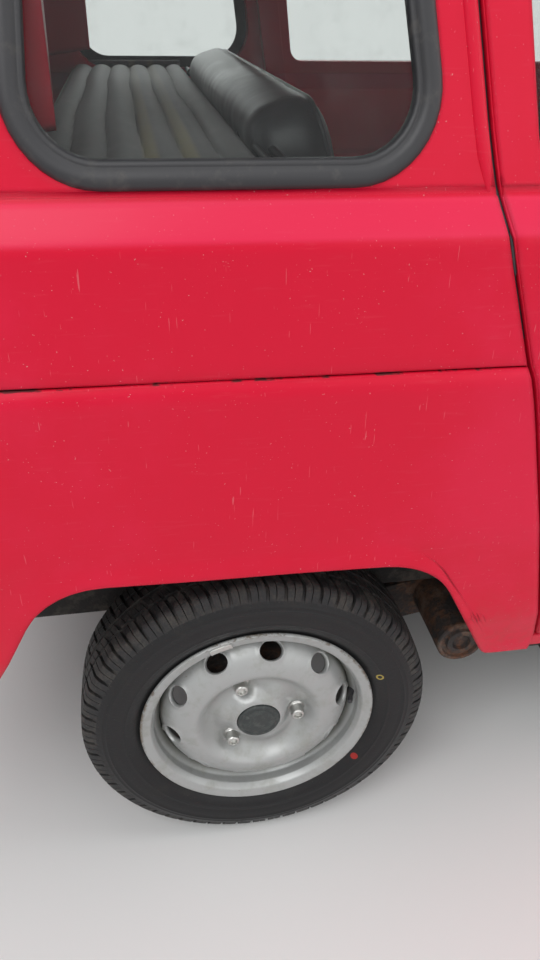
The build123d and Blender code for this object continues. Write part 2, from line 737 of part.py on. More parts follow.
# Tail panel with the tailgate's jamb
JAMB_RING_WIDTH = 65
TAILGATE_SILL_GAP = 8
HEAD_RELIEF = 15
HEAD_RELIEF_DROP = 85
TAIL_X = (TAIL_END, TAIL_REACH)
with BuildPart() as tail_panel:
    tail_y = (-TAIL_PANEL_HALF_WIDTH, TAIL_PANEL_HALF_WIDTH)
    add(common(skin, block(TAIL_X, tail_y, (SILL_HEIGHT, TAILGATE_BOTTOM - TAILGATE_SILL_GAP))))
    ring_y = (-TAIL_PANEL_HALF_WIDTH - JAMB_RING_WIDTH, TAIL_PANEL_HALF_WIDTH + JAMB_RING_WIDTH)
    add(common(jamb_skin, block(TAIL_X, ring_y, (BOOT_FLOOR_TOP, GREENHOUSE_TOP))))
    opening_y = (-TAILGATE_HALF_WIDTH + JAMB_OVERLAP, TAILGATE_HALF_WIDTH - JAMB_OVERLAP)
    opening_z = (TAILGATE_BOTTOM + JAMB_OVERLAP, GREENHOUSE_TOP)
    above_gate_head = roof_layer(-ROOF_THICKNESS - PANEL_GAP - JAMB_OVERLAP, 250)
    add(less(block(TAIL_X, opening_y, opening_z), above_gate_head), mode=Mode.SUBTRACT)
    add(above_roof, mode=Mode.SUBTRACT)
    head = block(TAIL_X, tail_y, (TAILGATE_HINGE[1] - HEAD_RELIEF_DROP, GREENHOUSE_TOP))
    add(common(head, less(green_inner, greenhouse_form(WALL + HEAD_RELIEF))), mode=Mode.SUBTRACT)
tail_panel.part.label = "tail_panel"

# Tailgate
with BuildPart() as tailgate:
    gate_y = (-TAILGATE_HALF_WIDTH, TAILGATE_HALF_WIDTH)
    add(common(less(skin, above_tailgate), block(TAIL_X, gate_y, (TAILGATE_BOTTOM, GREENHOUSE_TOP))))
    add(end_prism(TAIL_WINDOW, RUBBER_CORNER, *TAIL_X), mode=Mode.SUBTRACT)
    for hinge in tailgate_hinges:
        add(hinge_moving(hinge, TAILGATE_LEAF))
tailgate.part.label = "tailgate"

# Fixed glass and its rubber
RUBBER_PROUD = 4
RUBBER_DEPTH = 16
GLASS_INSET = 6
GLASS_THICKNESS = 5
rubber_layer = greenhouse_layer(-RUBBER_PROUD, RUBBER_PROUD + RUBBER_DEPTH)
glass_layer = greenhouse_layer(GLASS_INSET, GLASS_THICKNESS)

quarter_outline = side_prism(QUARTER_WINDOW, RUBBER_CORNER)
quarter_inside = side_prism(QUARTER_WINDOW, RUBBER_CORNER, RUBBER_WIDTH)
screen_outline = end_prism(SCREEN_OPENING, RUBBER_CORNER, *SCREEN_X)
screen_inside = end_prism(SCREEN_OPENING, RUBBER_CORNER, *SCREEN_X, RUBBER_WIDTH)
tail_outline = end_prism(TAIL_WINDOW, RUBBER_CORNER, *TAIL_X)
tail_inside = end_prism(TAIL_WINDOW, RUBBER_CORNER, *TAIL_X, RUBBER_WIDTH)

with BuildPart() as window_seals:
    add(common(rubber_layer, less(quarter_outline, quarter_inside)))
    mirror(about=Plane.XZ)
    add(common(rubber_layer, less(screen_outline, screen_inside)))
window_seals.part.label = "window_seals"

with BuildPart() as quarter_glasses:
    add(common(glass_layer, quarter_inside))
    mirror(about=Plane.XZ)
quarter_glasses.part.label = "quarter_glasses"

with BuildPart() as windscreen:
    add(common(glass_layer, screen_inside))
windscreen.part.label = "windscreen"

with BuildPart() as tailgate_seal:
    add(common(rubber_layer, less(tail_outline, tail_inside)))
tailgate_seal.part.label = "tailgate_seal"

with BuildPart() as tailgate_glass:
    add(common(glass_layer, tail_inside))
tailgate_glass.part.label = "tailgate_glass"

# Lamps
HEADLAMP_REAR = 1600
HEADLAMP_BOWL_RADIUS = 70
HEADLAMP_FRONT = 1716
with BuildPart() as headlamps:
    with BuildSketch(Plane.XZ.offset(LAMP_Y)):
        with BuildLine():
            Polyline(
                (HEADLAMP_FRONT - 26, LAMP_HEIGHT + LAMP_RADIUS),
                (HEADLAMP_FRONT - 40, LAMP_HEIGHT + LAMP_RADIUS),
                (HEADLAMP_REAR, LAMP_HEIGHT + HEADLAMP_BOWL_RADIUS),
                (HEADLAMP_REAR, LAMP_HEIGHT),
                (HEADLAMP_FRONT, LAMP_HEIGHT),
            )
            ThreePointArc(
                (HEADLAMP_FRONT, LAMP_HEIGHT),
                (HEADLAMP_FRONT - 7, LAMP_HEIGHT + 46),
                (HEADLAMP_FRONT - 26, LAMP_HEIGHT + LAMP_RADIUS),
            )
        make_face()
    revolve(axis=Axis((0, -LAMP_Y, LAMP_HEIGHT), (1, 0, 0)))
    mirror(about=Plane.XZ)
headlamps.part.label = "headlamps"

TAIL_LAMP_PROUD = 18
TAIL_LAMP_Y = (572, 668)
TAIL_LAMP_Z = (628, 812)
with BuildPart() as tail_lamps:
    add(less(lower_form(-TAIL_LAMP_PROUD), lower_outer))
    add(block((-1850, TAIL_REACH), (-TAIL_LAMP_Y[1], -TAIL_LAMP_Y[0]), TAIL_LAMP_Z), mode=Mode.INTERSECT)
    mirror(about=Plane.XZ)
tail_lamps.part.label = "tail_lamps"

# Bumpers: bowed blades that wrap the corners, on two brackets each
BUMPER_REACH = 1831
BUMPER_HALF_WIDTH = 752
BUMPER_THICKNESS = 20
BUMPER_Z = (455, 530)
BUMPER_ENDS = (-1610, 1540)
BRACKET_Y = 300
BRACKET_WIDTH = 44


def bumper_solid(inset):
    """Plan solid of both bumpers."""
    outline = plan_outline(
        BUMPER_Z[0],
        -BUMPER_REACH + inset,
        BUMPER_REACH - inset,
        BUMPER_HALF_WIDTH - inset,
        130 - inset,
        130 - inset,
        NOSE_BOW,
    )
    with BuildPart() as solid:
        extrude(outline, amount=BUMPER_Z[1] - BUMPER_Z[0])
    return solid.part


def bumper(x_range, skin_form):
    """One bumper: the blade between two stations, and its brackets up to the skin."""
    with BuildPart() as blade:
        add(less(bumper_solid(0), bumper_solid(BUMPER_THICKNESS)))
        add(block(x_range, (-SIDE_REACH, SIDE_REACH), BUMPER_Z), mode=Mode.INTERSECT)
    with BuildPart() as brackets:
        for y in (-BRACKET_Y, BRACKET_Y):
            sides = (y - BRACKET_WIDTH / 2, y + BRACKET_WIDTH / 2)
            add(block(x_range, sides, (BUMPER_Z[0] + 15, BUMPER_Z[1] - 15)))
        add(bumper_solid(BUMPER_THICKNESS), mode=Mode.INTERSECT)
        add(skin_form, mode=Mode.SUBTRACT)
    with BuildPart() as whole:
        add(blade.part)
        add(brackets.part)
    return whole.part


with BuildPart() as bumper_front:
    add(bumper((BUMPER_ENDS[1], 1850), lower_outer))
bumper_front.part.label = "bumper_front"

with BuildPart() as bumper_rear:
    add(bumper((-1850, BUMPER_ENDS[0]), lower_outer))
bumper_rear.part.label = "bumper_rear"

# Platform: floor, sills, bulkhead, wheel housings, front rails and shelves
SILL_BOX_Y = (610, 650)
SILL_END_SHORT = 30
SPOT_JOINT = 0.3
TOE_FOOT_X = 700
TOE_TOP = 600
HOUSING_FLOOR_CUT = 385
FRONT_PLATE_THICKNESS = 10
FRONT_PLATE_X = HEADLAMP_REAR - FRONT_PLATE_THICKNESS
FRONT_PLATE_Z = (400, 800)
RAIL_Z = (330, 394)
ARM_SLOT_X = (FRONT_AXLE_X - 120, FRONT_AXLE_X + 120)
ARM_SLOT_Z = (RAIL_Z[1], 438)
RAIL_END_X = 1640
JACK_PADS_X = (-560, 600)
JACK_PAD_LENGTH = 60
JACK_PAD_DEPTH = 5


def both_sides(shape):
    """The shape and its mirror image across the middle of the car."""
    with BuildPart() as pair:
        add(shape)
        mirror(about=Plane.XZ)
    return pair.part


def rear_housing(axle_x, grow, inner_y):
    """Solid of a right rear wheel housing, from its inner wall outwards."""
    below = block((TAIL_END, 0), (-SIDE_REACH, 0), (0, HOUSING_FLOOR_CUT))
    return less(arch_prism(REAR_ARCH, axle_x, inner_y, ARCH_Y[1], grow), below)


housing_shells = []
housing_voids = []
for axle_x, side in ((REAR_AXLE_X_RIGHT, 1), (REAR_AXLE_X_LEFT, -1)):
    shell = common(rear_housing(axle_x, HOUSING_WALL, REAR_HOUSING_Y), lower_inner)
    void = rear_housing(axle_x, 0, REAR_HOUSING_Y + HOUSING_WALL)
    housing_shells.append(shell if side > 0 else mirror(shell, about=Plane.XZ, mode=Mode.PRIVATE))
    housing_voids.append(void if side > 0 else mirror(void, about=Plane.XZ, mode=Mode.PRIVATE))

floor_y = (-SILL_BOX_Y[0], SILL_BOX_Y[0])
floor_z = (FLOOR_TOP - FLOOR_THICKNESS, FLOOR_TOP)
with BuildPart() as platform:
    add(block((KICK_UP_X - FLOOR_THICKNESS, KICK_UP_X), floor_y, (floor_z[0], BOOT_FLOOR_TOP)))
    boot_floor_z = (BOOT_FLOOR_TOP - FLOOR_THICKNESS, BOOT_FLOOR_TOP)
    boot_floor = block((TAIL_END, KICK_UP_X), (-SIDE_REACH, SIDE_REACH), boot_floor_z)
    jamb_side = block((TAIL_END, 0), (-SIDE_REACH, -SILL_BOX_Y[0]), boot_floor_z)
    jamb_clear = both_sides(common(rear_door_prism(JAMB_REAR_GROW), jamb_side))
    add(less(common(boot_floor, lower_inner), jamb_clear))
    with BuildSketch(Plane.XZ.offset(-SILL_BOX_Y[0])):
        with BuildLine():
            Polyline(
                (TOE_FOOT_X, floor_z[0]),
                (TOE_FOOT_X + 20, floor_z[0]),
                (BULKHEAD_X + BULKHEAD_THICKNESS, TOE_TOP - 26),
                (BULKHEAD_X + BULKHEAD_THICKNESS, TOE_TOP + 14),
                (BULKHEAD_X, TOE_TOP + 14),
                close=True,
            )
        make_face()
    extrude(amount=2 * SILL_BOX_Y[0])
    bulkhead_x = (BULKHEAD_X, BULKHEAD_X + BULKHEAD_THICKNESS)
    bulkhead = block(bulkhead_x, (-SIDE_REACH, SIDE_REACH), (SILL_HEIGHT, WAIST_HEIGHT))
    add(common(bulkhead, front_inner))
    rail_y = (-FRONT_HOUSING_Y, -FRONT_HOUSING_Y + RAIL_WIDTH)
    add(both_sides(block((TOE_FOOT_X + 60, RAIL_END_X), rail_y, RAIL_Z)))
    inner_wing_x = (BULKHEAD_X + BULKHEAD_THICKNESS, FRONT_PLATE_X)
    inner_wing_y = (-FRONT_HOUSING_Y - BULKHEAD_THICKNESS, -FRONT_HOUSING_Y)
    arm_slot = block(ARM_SLOT_X, (-FRONT_HOUSING_Y - 20, -FRONT_HOUSING_Y), ARM_SLOT_Z)
    add(both_sides(less(block(inner_wing_x, inner_wing_y, (RAIL_Z[0], FRONT_SHELF_HEIGHT)), arm_slot)))
    shelf_y = (-SIDE_REACH, -FRONT_HOUSING_Y)
    shelf = block(inner_wing_x, shelf_y, (FRONT_SHELF_HEIGHT - HOUSING_WALL, FRONT_SHELF_HEIGHT))
    add(both_sides(common(shelf, lower_inner)))
    plate_x = (FRONT_PLATE_X, FRONT_PLATE_X + FRONT_PLATE_THICKNESS)
    plate = block(plate_x, (-SIDE_REACH, SIDE_REACH), FRONT_PLATE_Z)
    plate_opening = block((1500, 1700), (-330, 330), (470, FRONT_PLATE_Z[1]))
    add(less(common(plate, lower_inner), plate_opening))
    add(both_sides(block((FRONT_PLATE_X, RAIL_END_X), inner_wing_y, RAIL_Z)))
    for shell, void in zip(housing_shells, housing_voids):
        add(shell)
        add(void, mode=Mode.SUBTRACT)
    add(block((KICK_UP_X + SPOT_JOINT, TOE_FOOT_X - SPOT_JOINT), floor_y, floor_z))
    sill_x = (KICK_UP_X + SILL_END_SHORT, BULKHEAD_X + BULKHEAD_THICKNESS)
    sill_y = (-SILL_BOX_Y[1], -SILL_BOX_Y[0] - SPOT_JOINT)
    add(both_sides(block(sill_x, sill_y, (floor_z[0], SILL_HEIGHT - SPOT_JOINT))))
    for x in JACK_PADS_X:
        pad_x = (x - JACK_PAD_LENGTH / 2, x + JACK_PAD_LENGTH / 2)
        pad_y = (-SILL_BOX_Y[1] + JACK_PAD_DEPTH, -SILL_BOX_Y[0] - JACK_PAD_DEPTH)
        add(both_sides(block(pad_x, pad_y, (floor_z[0] - JACK_PAD_DEPTH, floor_z[0]))))
platform.part.label = "platform"

# Steel wheel about its own axis: local Z points out of the car
HUB_BORE_DEPTH = 45
RIM_PROFILE = [
    (182.3, 63),
    (180, 59),
    (167, 58),
    (165, 54),
    (165, 40),
    (151, 28),
    (151, -22),
    (165, -36),
    (165, -54),
    (167, -58),
    (182.3, -60),
    (182.3, -64),
    (163, -62),
    (160.5, -54),
    (160.5, -38),
    (146.5, -24),
    (146.5, 30),
    (160.5, 42),
    (160.5, 56),
    (164, 63),
    (182.3, 66.5),
]
DISC_PROFILE = [
    (0, 66),
    (24, 65.5),
    (31, 60),
    (34, 57),
    (54, 38),
    (76, 38),
    (88, 60),
    (97, 65.8),
    (110, 64),
    (124, 58.2),
    (137, 48.8),
    (146, 37.5),
    (150.5, 24),
    (149, 12),
    (145, 12),
    (145.5, 22),
    (142, 34.5),
    (133.5, 45.5),
    (121.5, 54),
    (109, 59.4),
    (98, 61),
    (91.5, 56.5),
    (79, 33.5),
    (34, 33.5),
    (34, 18),
    (SPINDLE_RADIUS + RUNNING_FIT, 18),
    (SPINDLE_RADIUS + RUNNING_FIT, HUB_BORE_DEPTH),
    (0, HUB_BORE_DEPTH),
]

with BuildPart() as wheel_shape:
    with BuildSketch(Plane.XZ):
        for profile in (RIM_PROFILE, DISC_PROFILE):
            with BuildLine():
                Polyline(*profile, close=True)
            make_face()
    revolve(axis=Axis.Z)
    with BuildSketch(Plane.XY.offset(VENT_CUT[0])):
        with PolarLocations(VENT_CIRCLE_RADIUS, VENT_HOLES, start_angle=10):
            Ellipse(*VENT_HALF_SIZES)
    extrude(amount=VENT_CUT[1] - VENT_CUT[0], mode=Mode.SUBTRACT)
    with BuildSketch(Plane.XY.offset(25)):
        with PolarLocations(BOLT_CIRCLE_RADIUS, BOLT_HOLES, start_angle=-6):
            Circle(BOLT_HOLE_RADIUS)
    extrude(amount=20, mode=Mode.SUBTRACT)

# Tyre: sections of the outside and of the hollow, radius and distance from the middle, in flat facets
TYRE_FACETS = 60
TYRE_OUTSIDE = [(228, TYRE_WIDTH / 2), (256, 64), (TYRE_RADIUS, 49)]
TYRE_HOLLOW = [(229.3, TYRE_WIDTH / 2 + 1), (RIM_SEAT_RADIUS + 0.25, 54)]


def faceted(sections):
    """Solid through regular polygons, the same on both sides of the middle."""
    outlines = []
    for radius, distance in sections + [(radius, -distance) for radius, distance in reversed(sections)]:
        with BuildSketch(Plane.XY.offset(distance)) as outline:
            RegularPolygon(radius, TYRE_FACETS)
        outlines.append(outline.sketch)
    with BuildPart() as solid:
        loft(outlines, ruled=True)
    return solid.part


with BuildPart() as tyre_shape:
    add(faceted(TYRE_OUTSIDE))
    add(faceted(TYRE_HOLLOW), mode=Mode.SUBTRACT)

wheel_places = {
    "front_right": (FRONT_AXLE_X, -FRONT_WHEEL_Y),
    "front_left": (FRONT_AXLE_X, FRONT_WHEEL_Y),
    "rear_right": (REAR_AXLE_X_RIGHT, -REAR_WHEEL_Y),
    "rear_left": (REAR_AXLE_X_LEFT, REAR_WHEEL_Y),
}
wheels = {}
tyres = {}
for corner, (x, y) in wheel_places.items():
    frame = Plane((x, y, TYRE_RADIUS), x_dir=(1, 0, 0), z_dir=(0, -1 if y < 0 else 1, 0))
    with BuildPart() as wheel:
        add(frame.location * wheel_shape.part)
    wheel.part.label = f"wheel_{corner}"
    wheels[corner] = wheel
    with BuildPart() as tyre:
        add(frame.location * tyre_shape.part)
    tyre.part.label = f"tyre_{corner}"
    tyres[corner] = tyre

# Front suspension: arms on the rails, knuckles on kingpins
DRUM_RADIUS = 100
KINGPIN_RADIUS = 14
KINGPIN_Z = (190, 430)
UPRIGHT_Z = (222, 400)
LOWER_ARM_Z = (194, 212)
UPPER_ARM_Z = (409, 427)
ARM_ROOT_Y = 372
ARM_SPREAD = 90
ARM_WIDTH = 26
HUB_BACK = 18
DRUM_GAP = 6
SPINDLE_END = HUB_BORE_DEPTH - 5
ARM_PLATE_Z = (TYRE_RADIUS + 2, TYRE_RADIUS + 20)


def cylinder_z(x, y, radius, z_from, z_to):
    """Upright cylinder."""
    with BuildPart() as post:
        with BuildSketch(Plane.XY.offset(z_from)):
            with Locations((x, y)):
                Circle(radius)
        extrude(amount=z_to - z_from)
    return post.part


def link(start, end, width, z_from, z_to):
    """Flat link with round ends between two points in plan."""
    with BuildPart() as bar:
        with BuildSketch(Plane.XY.offset(z_from)):
            with Locations(start, end):
                Circle(width / 2)
            make_hull()
        extrude(amount=z_to - z_from)
    return bar.part


front_hub_y = FRONT_WHEEL_Y + HUB_BACK
with BuildPart() as knuckle_right:
    add(cylinder_z(FRONT_AXLE_X, -KINGPIN_Y, KINGPIN_RADIUS, *KINGPIN_Z))
    add(cylinder_z(FRONT_AXLE_X, -KINGPIN_Y, 21, *UPRIGHT_Z))
    add(cylinder_y(FRONT_AXLE_X, TYRE_RADIUS, 38, -KINGPIN_Y, -590))
    add(cylinder_y(FRONT_AXLE_X, TYRE_RADIUS, DRUM_RADIUS, -585, -front_hub_y + DRUM_GAP))
    add(cylinder_y(FRONT_AXLE_X, TYRE_RADIUS, SPINDLE_RADIUS, -600, -FRONT_WHEEL_Y - SPINDLE_END))
    add(link((FRONT_AXLE_X, -KINGPIN_Y), (FRONT_AXLE_X - STEERING_ARM, -KINGPIN_Y), 30, *ARM_PLATE_Z))
knuckle_right.part.label = "knuckle_right"

with BuildPart() as knuckle_left:
    mirror(knuckle_right.part, about=Plane.XZ)
knuckle_left.part.label = "knuckle_left"

kingpin = (FRONT_AXLE_X, -KINGPIN_Y)
arm_roots = [(FRONT_AXLE_X - ARM_SPREAD, -ARM_ROOT_Y), (FRONT_AXLE_X + ARM_SPREAD, -ARM_ROOT_Y)]
with BuildPart() as front_arms:
    with BuildSketch(Plane.XY.offset(LOWER_ARM_Z[0])):
        with Locations(kingpin):
            Circle(24)
        with Locations(*arm_roots):
            Circle(ARM_WIDTH / 2)
        make_hull()
        with Locations(kingpin):
            Circle(KINGPIN_RADIUS + RUNNING_FIT, mode=Mode.SUBTRACT)
    extrude(amount=LOWER_ARM_Z[1] - LOWER_ARM_Z[0])
    for root in arm_roots:
        add(cylinder_z(*root, ARM_WIDTH / 2, LOWER_ARM_Z[0], RAIL_Z[0]))
        add(link(kingpin, root, ARM_WIDTH, *UPPER_ARM_Z))
        add(cylinder_z(*root, ARM_WIDTH / 2, RAIL_Z[1], UPPER_ARM_Z[1]))
    add(cylinder_z(*kingpin, 24, *UPPER_ARM_Z))
    add(cylinder_z(*kingpin, KINGPIN_RADIUS + RUNNING_FIT, *UPPER_ARM_Z), mode=Mode.SUBTRACT)
    mirror(about=Plane.XZ)
front_arms.part.label = "front_arms"

# Rear suspension: trailing arms on transverse pivot tubes, one ahead of the other
ARM_Y = (450, 500)
HUB_BOSS_RADIUS = 45
PIVOT_BORE_RADIUS = 26
PIVOT_BORE_DEPTH = 70
TORSION_TUBE_RADIUS = 20
TUBE_BRACKET_Y = (400, 424)
rear_hub_y = REAR_WHEEL_Y + HUB_BACK


def rear_arm(axle_x):
    """Right trailing arm with its pivot tube, torsion tube, brake drum and spindle."""
    pivot_x = axle_x + PIVOT_OFFSET_X
    with BuildPart() as arm:
        with BuildSketch(Plane.XZ.offset(ARM_Y[0])):
            with Locations((pivot_x, PIVOT_HEIGHT)):
                Circle(PIVOT_RADIUS - 2)
            with Locations((axle_x, TYRE_RADIUS)):
                Circle(HUB_BOSS_RADIUS)
            make_hull()
        extrude(amount=ARM_Y[1] - ARM_Y[0])
        add(cylinder_y(pivot_x, PIVOT_HEIGHT, PIVOT_RADIUS, -430, -PIVOT_END_Y))
        add(cylinder_y(pivot_x, PIVOT_HEIGHT, TORSION_TUBE_RADIUS, 420, -440))
        add(cylinder_y(axle_x, TYRE_RADIUS, HUB_BOSS_RADIUS, -ARM_Y[0] - 10, -570))
        add(cylinder_y(axle_x, TYRE_RADIUS, DRUM_RADIUS, -560, -rear_hub_y + DRUM_GAP))
        add(cylinder_y(axle_x, TYRE_RADIUS, SPINDLE_RADIUS, -600, -REAR_WHEEL_Y - SPINDLE_END))
        bore_start = -PIVOT_END_Y + PIVOT_BORE_DEPTH
        bore = cylinder_y(pivot_x, PIVOT_HEIGHT, PIVOT_BORE_RADIUS, bore_start, -PIVOT_END_Y - 5)
        add(bore, mode=Mode.SUBTRACT)
        bracket_z = (PIVOT_HEIGHT, BOOT_FLOOR_TOP - FLOOR_THICKNESS)
        add(block((pivot_x - 21, pivot_x + 21), (-TUBE_BRACKET_Y[1], -TUBE_BRACKET_Y[0]), bracket_z))
        add(bore, mode=Mode.SUBTRACT)
    return arm.part


right_arm = rear_arm(REAR_AXLE_X_RIGHT)
left_arm = mirror(rear_arm(REAR_AXLE_X_LEFT), about=Plane.XZ, mode=Mode.PRIVATE)
with BuildPart() as rear_arms:
    add(right_arm)
    add(left_arm)
rear_arms.part.label = "rear_arms"

DAMPER_RADIUS = 22
DAMPER_ROD_RADIUS = 8
FRONT_DAMPER_Y = 440
REAR_DAMPER_OFFSET = 70
REAR_DAMPER_Y = 475
with BuildPart() as dampers:
    for side in (-1, 1):
        y = side * FRONT_DAMPER_Y
        add(cylinder_z(FRONT_AXLE_X, y, DAMPER_RADIUS, LOWER_ARM_Z[1], 430))
        add(cylinder_z(FRONT_AXLE_X, y, DAMPER_ROD_RADIUS, 430, FRONT_SHELF_HEIGHT - HOUSING_WALL))
    for axle_x, y in ((REAR_AXLE_X_RIGHT, -REAR_DAMPER_Y), (REAR_AXLE_X_LEFT, REAR_DAMPER_Y)):
        boot_underside = BOOT_FLOOR_TOP - FLOOR_THICKNESS
        add(cylinder_z(axle_x + REAR_DAMPER_OFFSET, y, DAMPER_RADIUS, TYRE_RADIUS + 20, boot_underside))
    add(right_arm, mode=Mode.SUBTRACT)
    add(left_arm, mode=Mode.SUBTRACT)
dampers.part.label = "dampers"

# Steering: rack with its tie rods, housing on the rails
RACK_X = FRONT_AXLE_X - STEERING_ARM
RACK_RADIUS = 13
TIE_ROD_RADIUS = 8
EYE_Z = (RACK_HEIGHT - 13, TYRE_RADIUS - 3)
HOUSING_HALF = 225
with BuildPart() as steering_rack:
    add(cylinder_y(RACK_X, RACK_HEIGHT - 4, RACK_RADIUS, 330, -330))
    add(cylinder_y(RACK_X, RACK_HEIGHT - 4, TIE_ROD_RADIUS, KINGPIN_Y, -KINGPIN_Y))
    for side in (-1, 1):
        add(cylinder_z(RACK_X, side * KINGPIN_Y, 15, *EYE_Z))
steering_rack.part.label = "steering_rack"

with BuildPart() as rack_housing:
    add(cylinder_y(RACK_X, RACK_HEIGHT - 4, 24, HOUSING_HALF, -HOUSING_HALF))
    for side in (-1, 1):
        outer_y = FRONT_HOUSING_Y - RAIL_WIDTH
        y_range = sorted((side * (HOUSING_HALF - 30), side * outer_y))
        add(block((RACK_X - 12, RACK_X + 12), y_range, (RACK_HEIGHT + 14, RAIL_Z[1] - 14)))
        y_range = sorted((side * (HOUSING_HALF - 30), side * HOUSING_HALF))
        add(block((RACK_X - 12, RACK_X + 12), y_range, (RACK_HEIGHT, RAIL_Z[1] - 14)))
    add(cylinder_y(RACK_X, RACK_HEIGHT - 4, RACK_RADIUS + RUNNING_FIT, 300, -300), mode=Mode.SUBTRACT)
rack_housing.part.label = "rack_housing"

# Steering wheel and column: local Z points at the driver
column_plane = Plane(
    STEERING_WHEEL_CENTRE,
    x_dir=(0, 1, 0),
    z_dir=(-cos(radians(COLUMN_RAKE)), 0, sin(radians(COLUMN_RAKE))),
)
WHEEL_RIM_RADIUS = 12
SHAFT_RADIUS = 11
COLUMN_RADIUS = 22
COLUMN_START = -70
with BuildPart() as steering_wheel:
    with BuildSketch(Plane(column_plane.origin, x_dir=column_plane.x_dir, z_dir=column_plane.y_dir)):
        with Locations((STEERING_WHEEL_RADIUS, 0)):
            Circle(WHEEL_RIM_RADIUS)
    revolve(axis=Axis(column_plane.origin, column_plane.z_dir))
    with BuildSketch(column_plane.offset(-45)):
        Circle(34)
    extrude(amount=40)
    with BuildSketch(column_plane.offset(-14)):
        Rectangle(2 * STEERING_WHEEL_RADIUS, 34)
    extrude(amount=9)
    with BuildSketch(column_plane.offset(-200)):
        Circle(SHAFT_RADIUS)
    extrude(amount=160)
steering_wheel.part.label = "steering_wheel"

# Dashboard shelf against the bulkhead
DASH_HALF_WIDTH = 655
DASH_PROFILE = [(BULKHEAD_X, 985), (760, 990), (700, 960), (690, 880), (740, 850), (BULKHEAD_X, 840)]
with BuildPart() as dashboard:
    with BuildSketch(Plane.XZ.offset(-DASH_HALF_WIDTH)) as dash_profile:
        with BuildLine():
            Polyline(*DASH_PROFILE, close=True)
        make_face()
        fillet(dash_profile.vertices().group_by(Axis.X)[0], radius=25)
    extrude(amount=2 * DASH_HALF_WIDTH)
    add(jamb_inner, mode=Mode.INTERSECT)
dashboard.part.label = "dashboard"

with BuildPart() as steering_column:
    with BuildSketch(column_plane.offset(COLUMN_START)):
        Circle(COLUMN_RADIUS)
    extrude(amount=-450)
    with BuildSketch(column_plane.offset(COLUMN_START)):
        Circle(SHAFT_RADIUS + RUNNING_FIT)
    extrude(amount=-150, mode=Mode.SUBTRACT)
    ahead = block((BULKHEAD_X, BULKHEAD_X + 200), (-SIDE_REACH, SIDE_REACH), (0, WAIST_HEIGHT))
    add(ahead, mode=Mode.SUBTRACT)
    add(dashboard, mode=Mode.SUBTRACT)
steering_column.part.label = "steering_column"

# Engine, tank and exhaust under the car
ENGINE_BLOCK = ((885, 1355), (-165, 165), (365, 765))
SUMP = ((930, 1310), (-130, 130), (305, 365))
GEARBOX = ((1235, 1565), (-120, 120), (305, 535))
ENGINE_CHAMFER = 40
ENGINE_MOUNT_X = (1285, 1325)
ENGINE_MOUNT_Z = (366, 390)
with BuildPart() as engine:
    add(block(*ENGINE_BLOCK))
    chamfer(engine.edges().filter_by(Axis.X).group_by(Axis.Z)[-1], length=ENGINE_CHAMFER)
    add(block(*SUMP))
    add(block(*GEARBOX))
    rail_inner_y = FRONT_HOUSING_Y - RAIL_WIDTH
    add(block(ENGINE_MOUNT_X, (-rail_inner_y, rail_inner_y), ENGINE_MOUNT_Z))
engine.part.label = "engine"

TANK_X = (-1645, -1315)
TANK_Y = (-430, -30)
TANK_BOTTOM = 302
TANK_CORNER = 30
with BuildPart() as fuel_tank:
    add(block(TANK_X, TANK_Y, (TANK_BOTTOM, BOOT_FLOOR_TOP - FLOOR_THICKNESS)))
    fillet(fuel_tank.edges().group_by(Axis.Z)[0], radius=TANK_CORNER)
fuel_tank.part.label = "fuel_tank"

EXHAUST_Y = 230
EXHAUST_Z = 236
EXHAUST_RADIUS = 22
EXHAUST_X = (-560, 900)
SILENCER_X = (-620, -200)
SILENCER_HALF_SIZE = (75, 42)
HANGERS_X = (-590, -230, 300)
HANGER_WIDTH = 16
HANGER_DEPTH = 24
with BuildPart() as exhaust:
    with BuildSketch(Plane.YZ.offset(EXHAUST_X[0])):
        with Locations((EXHAUST_Y, EXHAUST_Z)):
            Circle(EXHAUST_RADIUS)
    extrude(amount=EXHAUST_X[1] - EXHAUST_X[0])
    with BuildSketch(Plane.YZ.offset(SILENCER_X[0])):
        with Locations((EXHAUST_Y, EXHAUST_Z)):
            Ellipse(*SILENCER_HALF_SIZE)
    extrude(amount=SILENCER_X[1] - SILENCER_X[0])
    hanger_y = (EXHAUST_Y - HANGER_DEPTH / 2, EXHAUST_Y + HANGER_DEPTH / 2)
    for x in HANGERS_X:
        hanger_x = (x - HANGER_WIDTH / 2, x + HANGER_WIDTH / 2)
        add(block(hanger_x, hanger_y, (EXHAUST_Z, FLOOR_TOP - FLOOR_THICKNESS)))
exhaust.part.label = "exhaust"

# Seats: the lower edge of each back rests against the rear edge of its cushion
SEAT_EDGE = 35
SEAT_GAP = 0.3
BACK_RISE = 20
FRONT_SEAT_X = (-80, 400)
SEAT_TOP = 560
CUSHION_THICKNESS = 130
FRONT_SEAT_WIDTH = 500
FRONT_BACK_HEIGHT = 560
FRONT_BACK_THICKNESS = 95
FRONT_BACK_LEAN = 14
SEAT_Y = 330
REAR_SEAT_X = (-938, -448)
REAR_SEAT_TOP = 610
REAR_CUSHION = 150
REAR_SEAT_WIDTH = 1000
REAR_BACK_HEIGHT = 582
REAR_BACK_THICKNESS = 100
REAR_BACK_LEAN = 17


def cushion(length, width, thickness):
    """Plain upholstered block, rounded all round, lying flat at the origin."""
    with BuildPart() as pad:
        Box(length, width, thickness)
        fillet(pad.edges(), radius=SEAT_EDGE)
    return pad.part


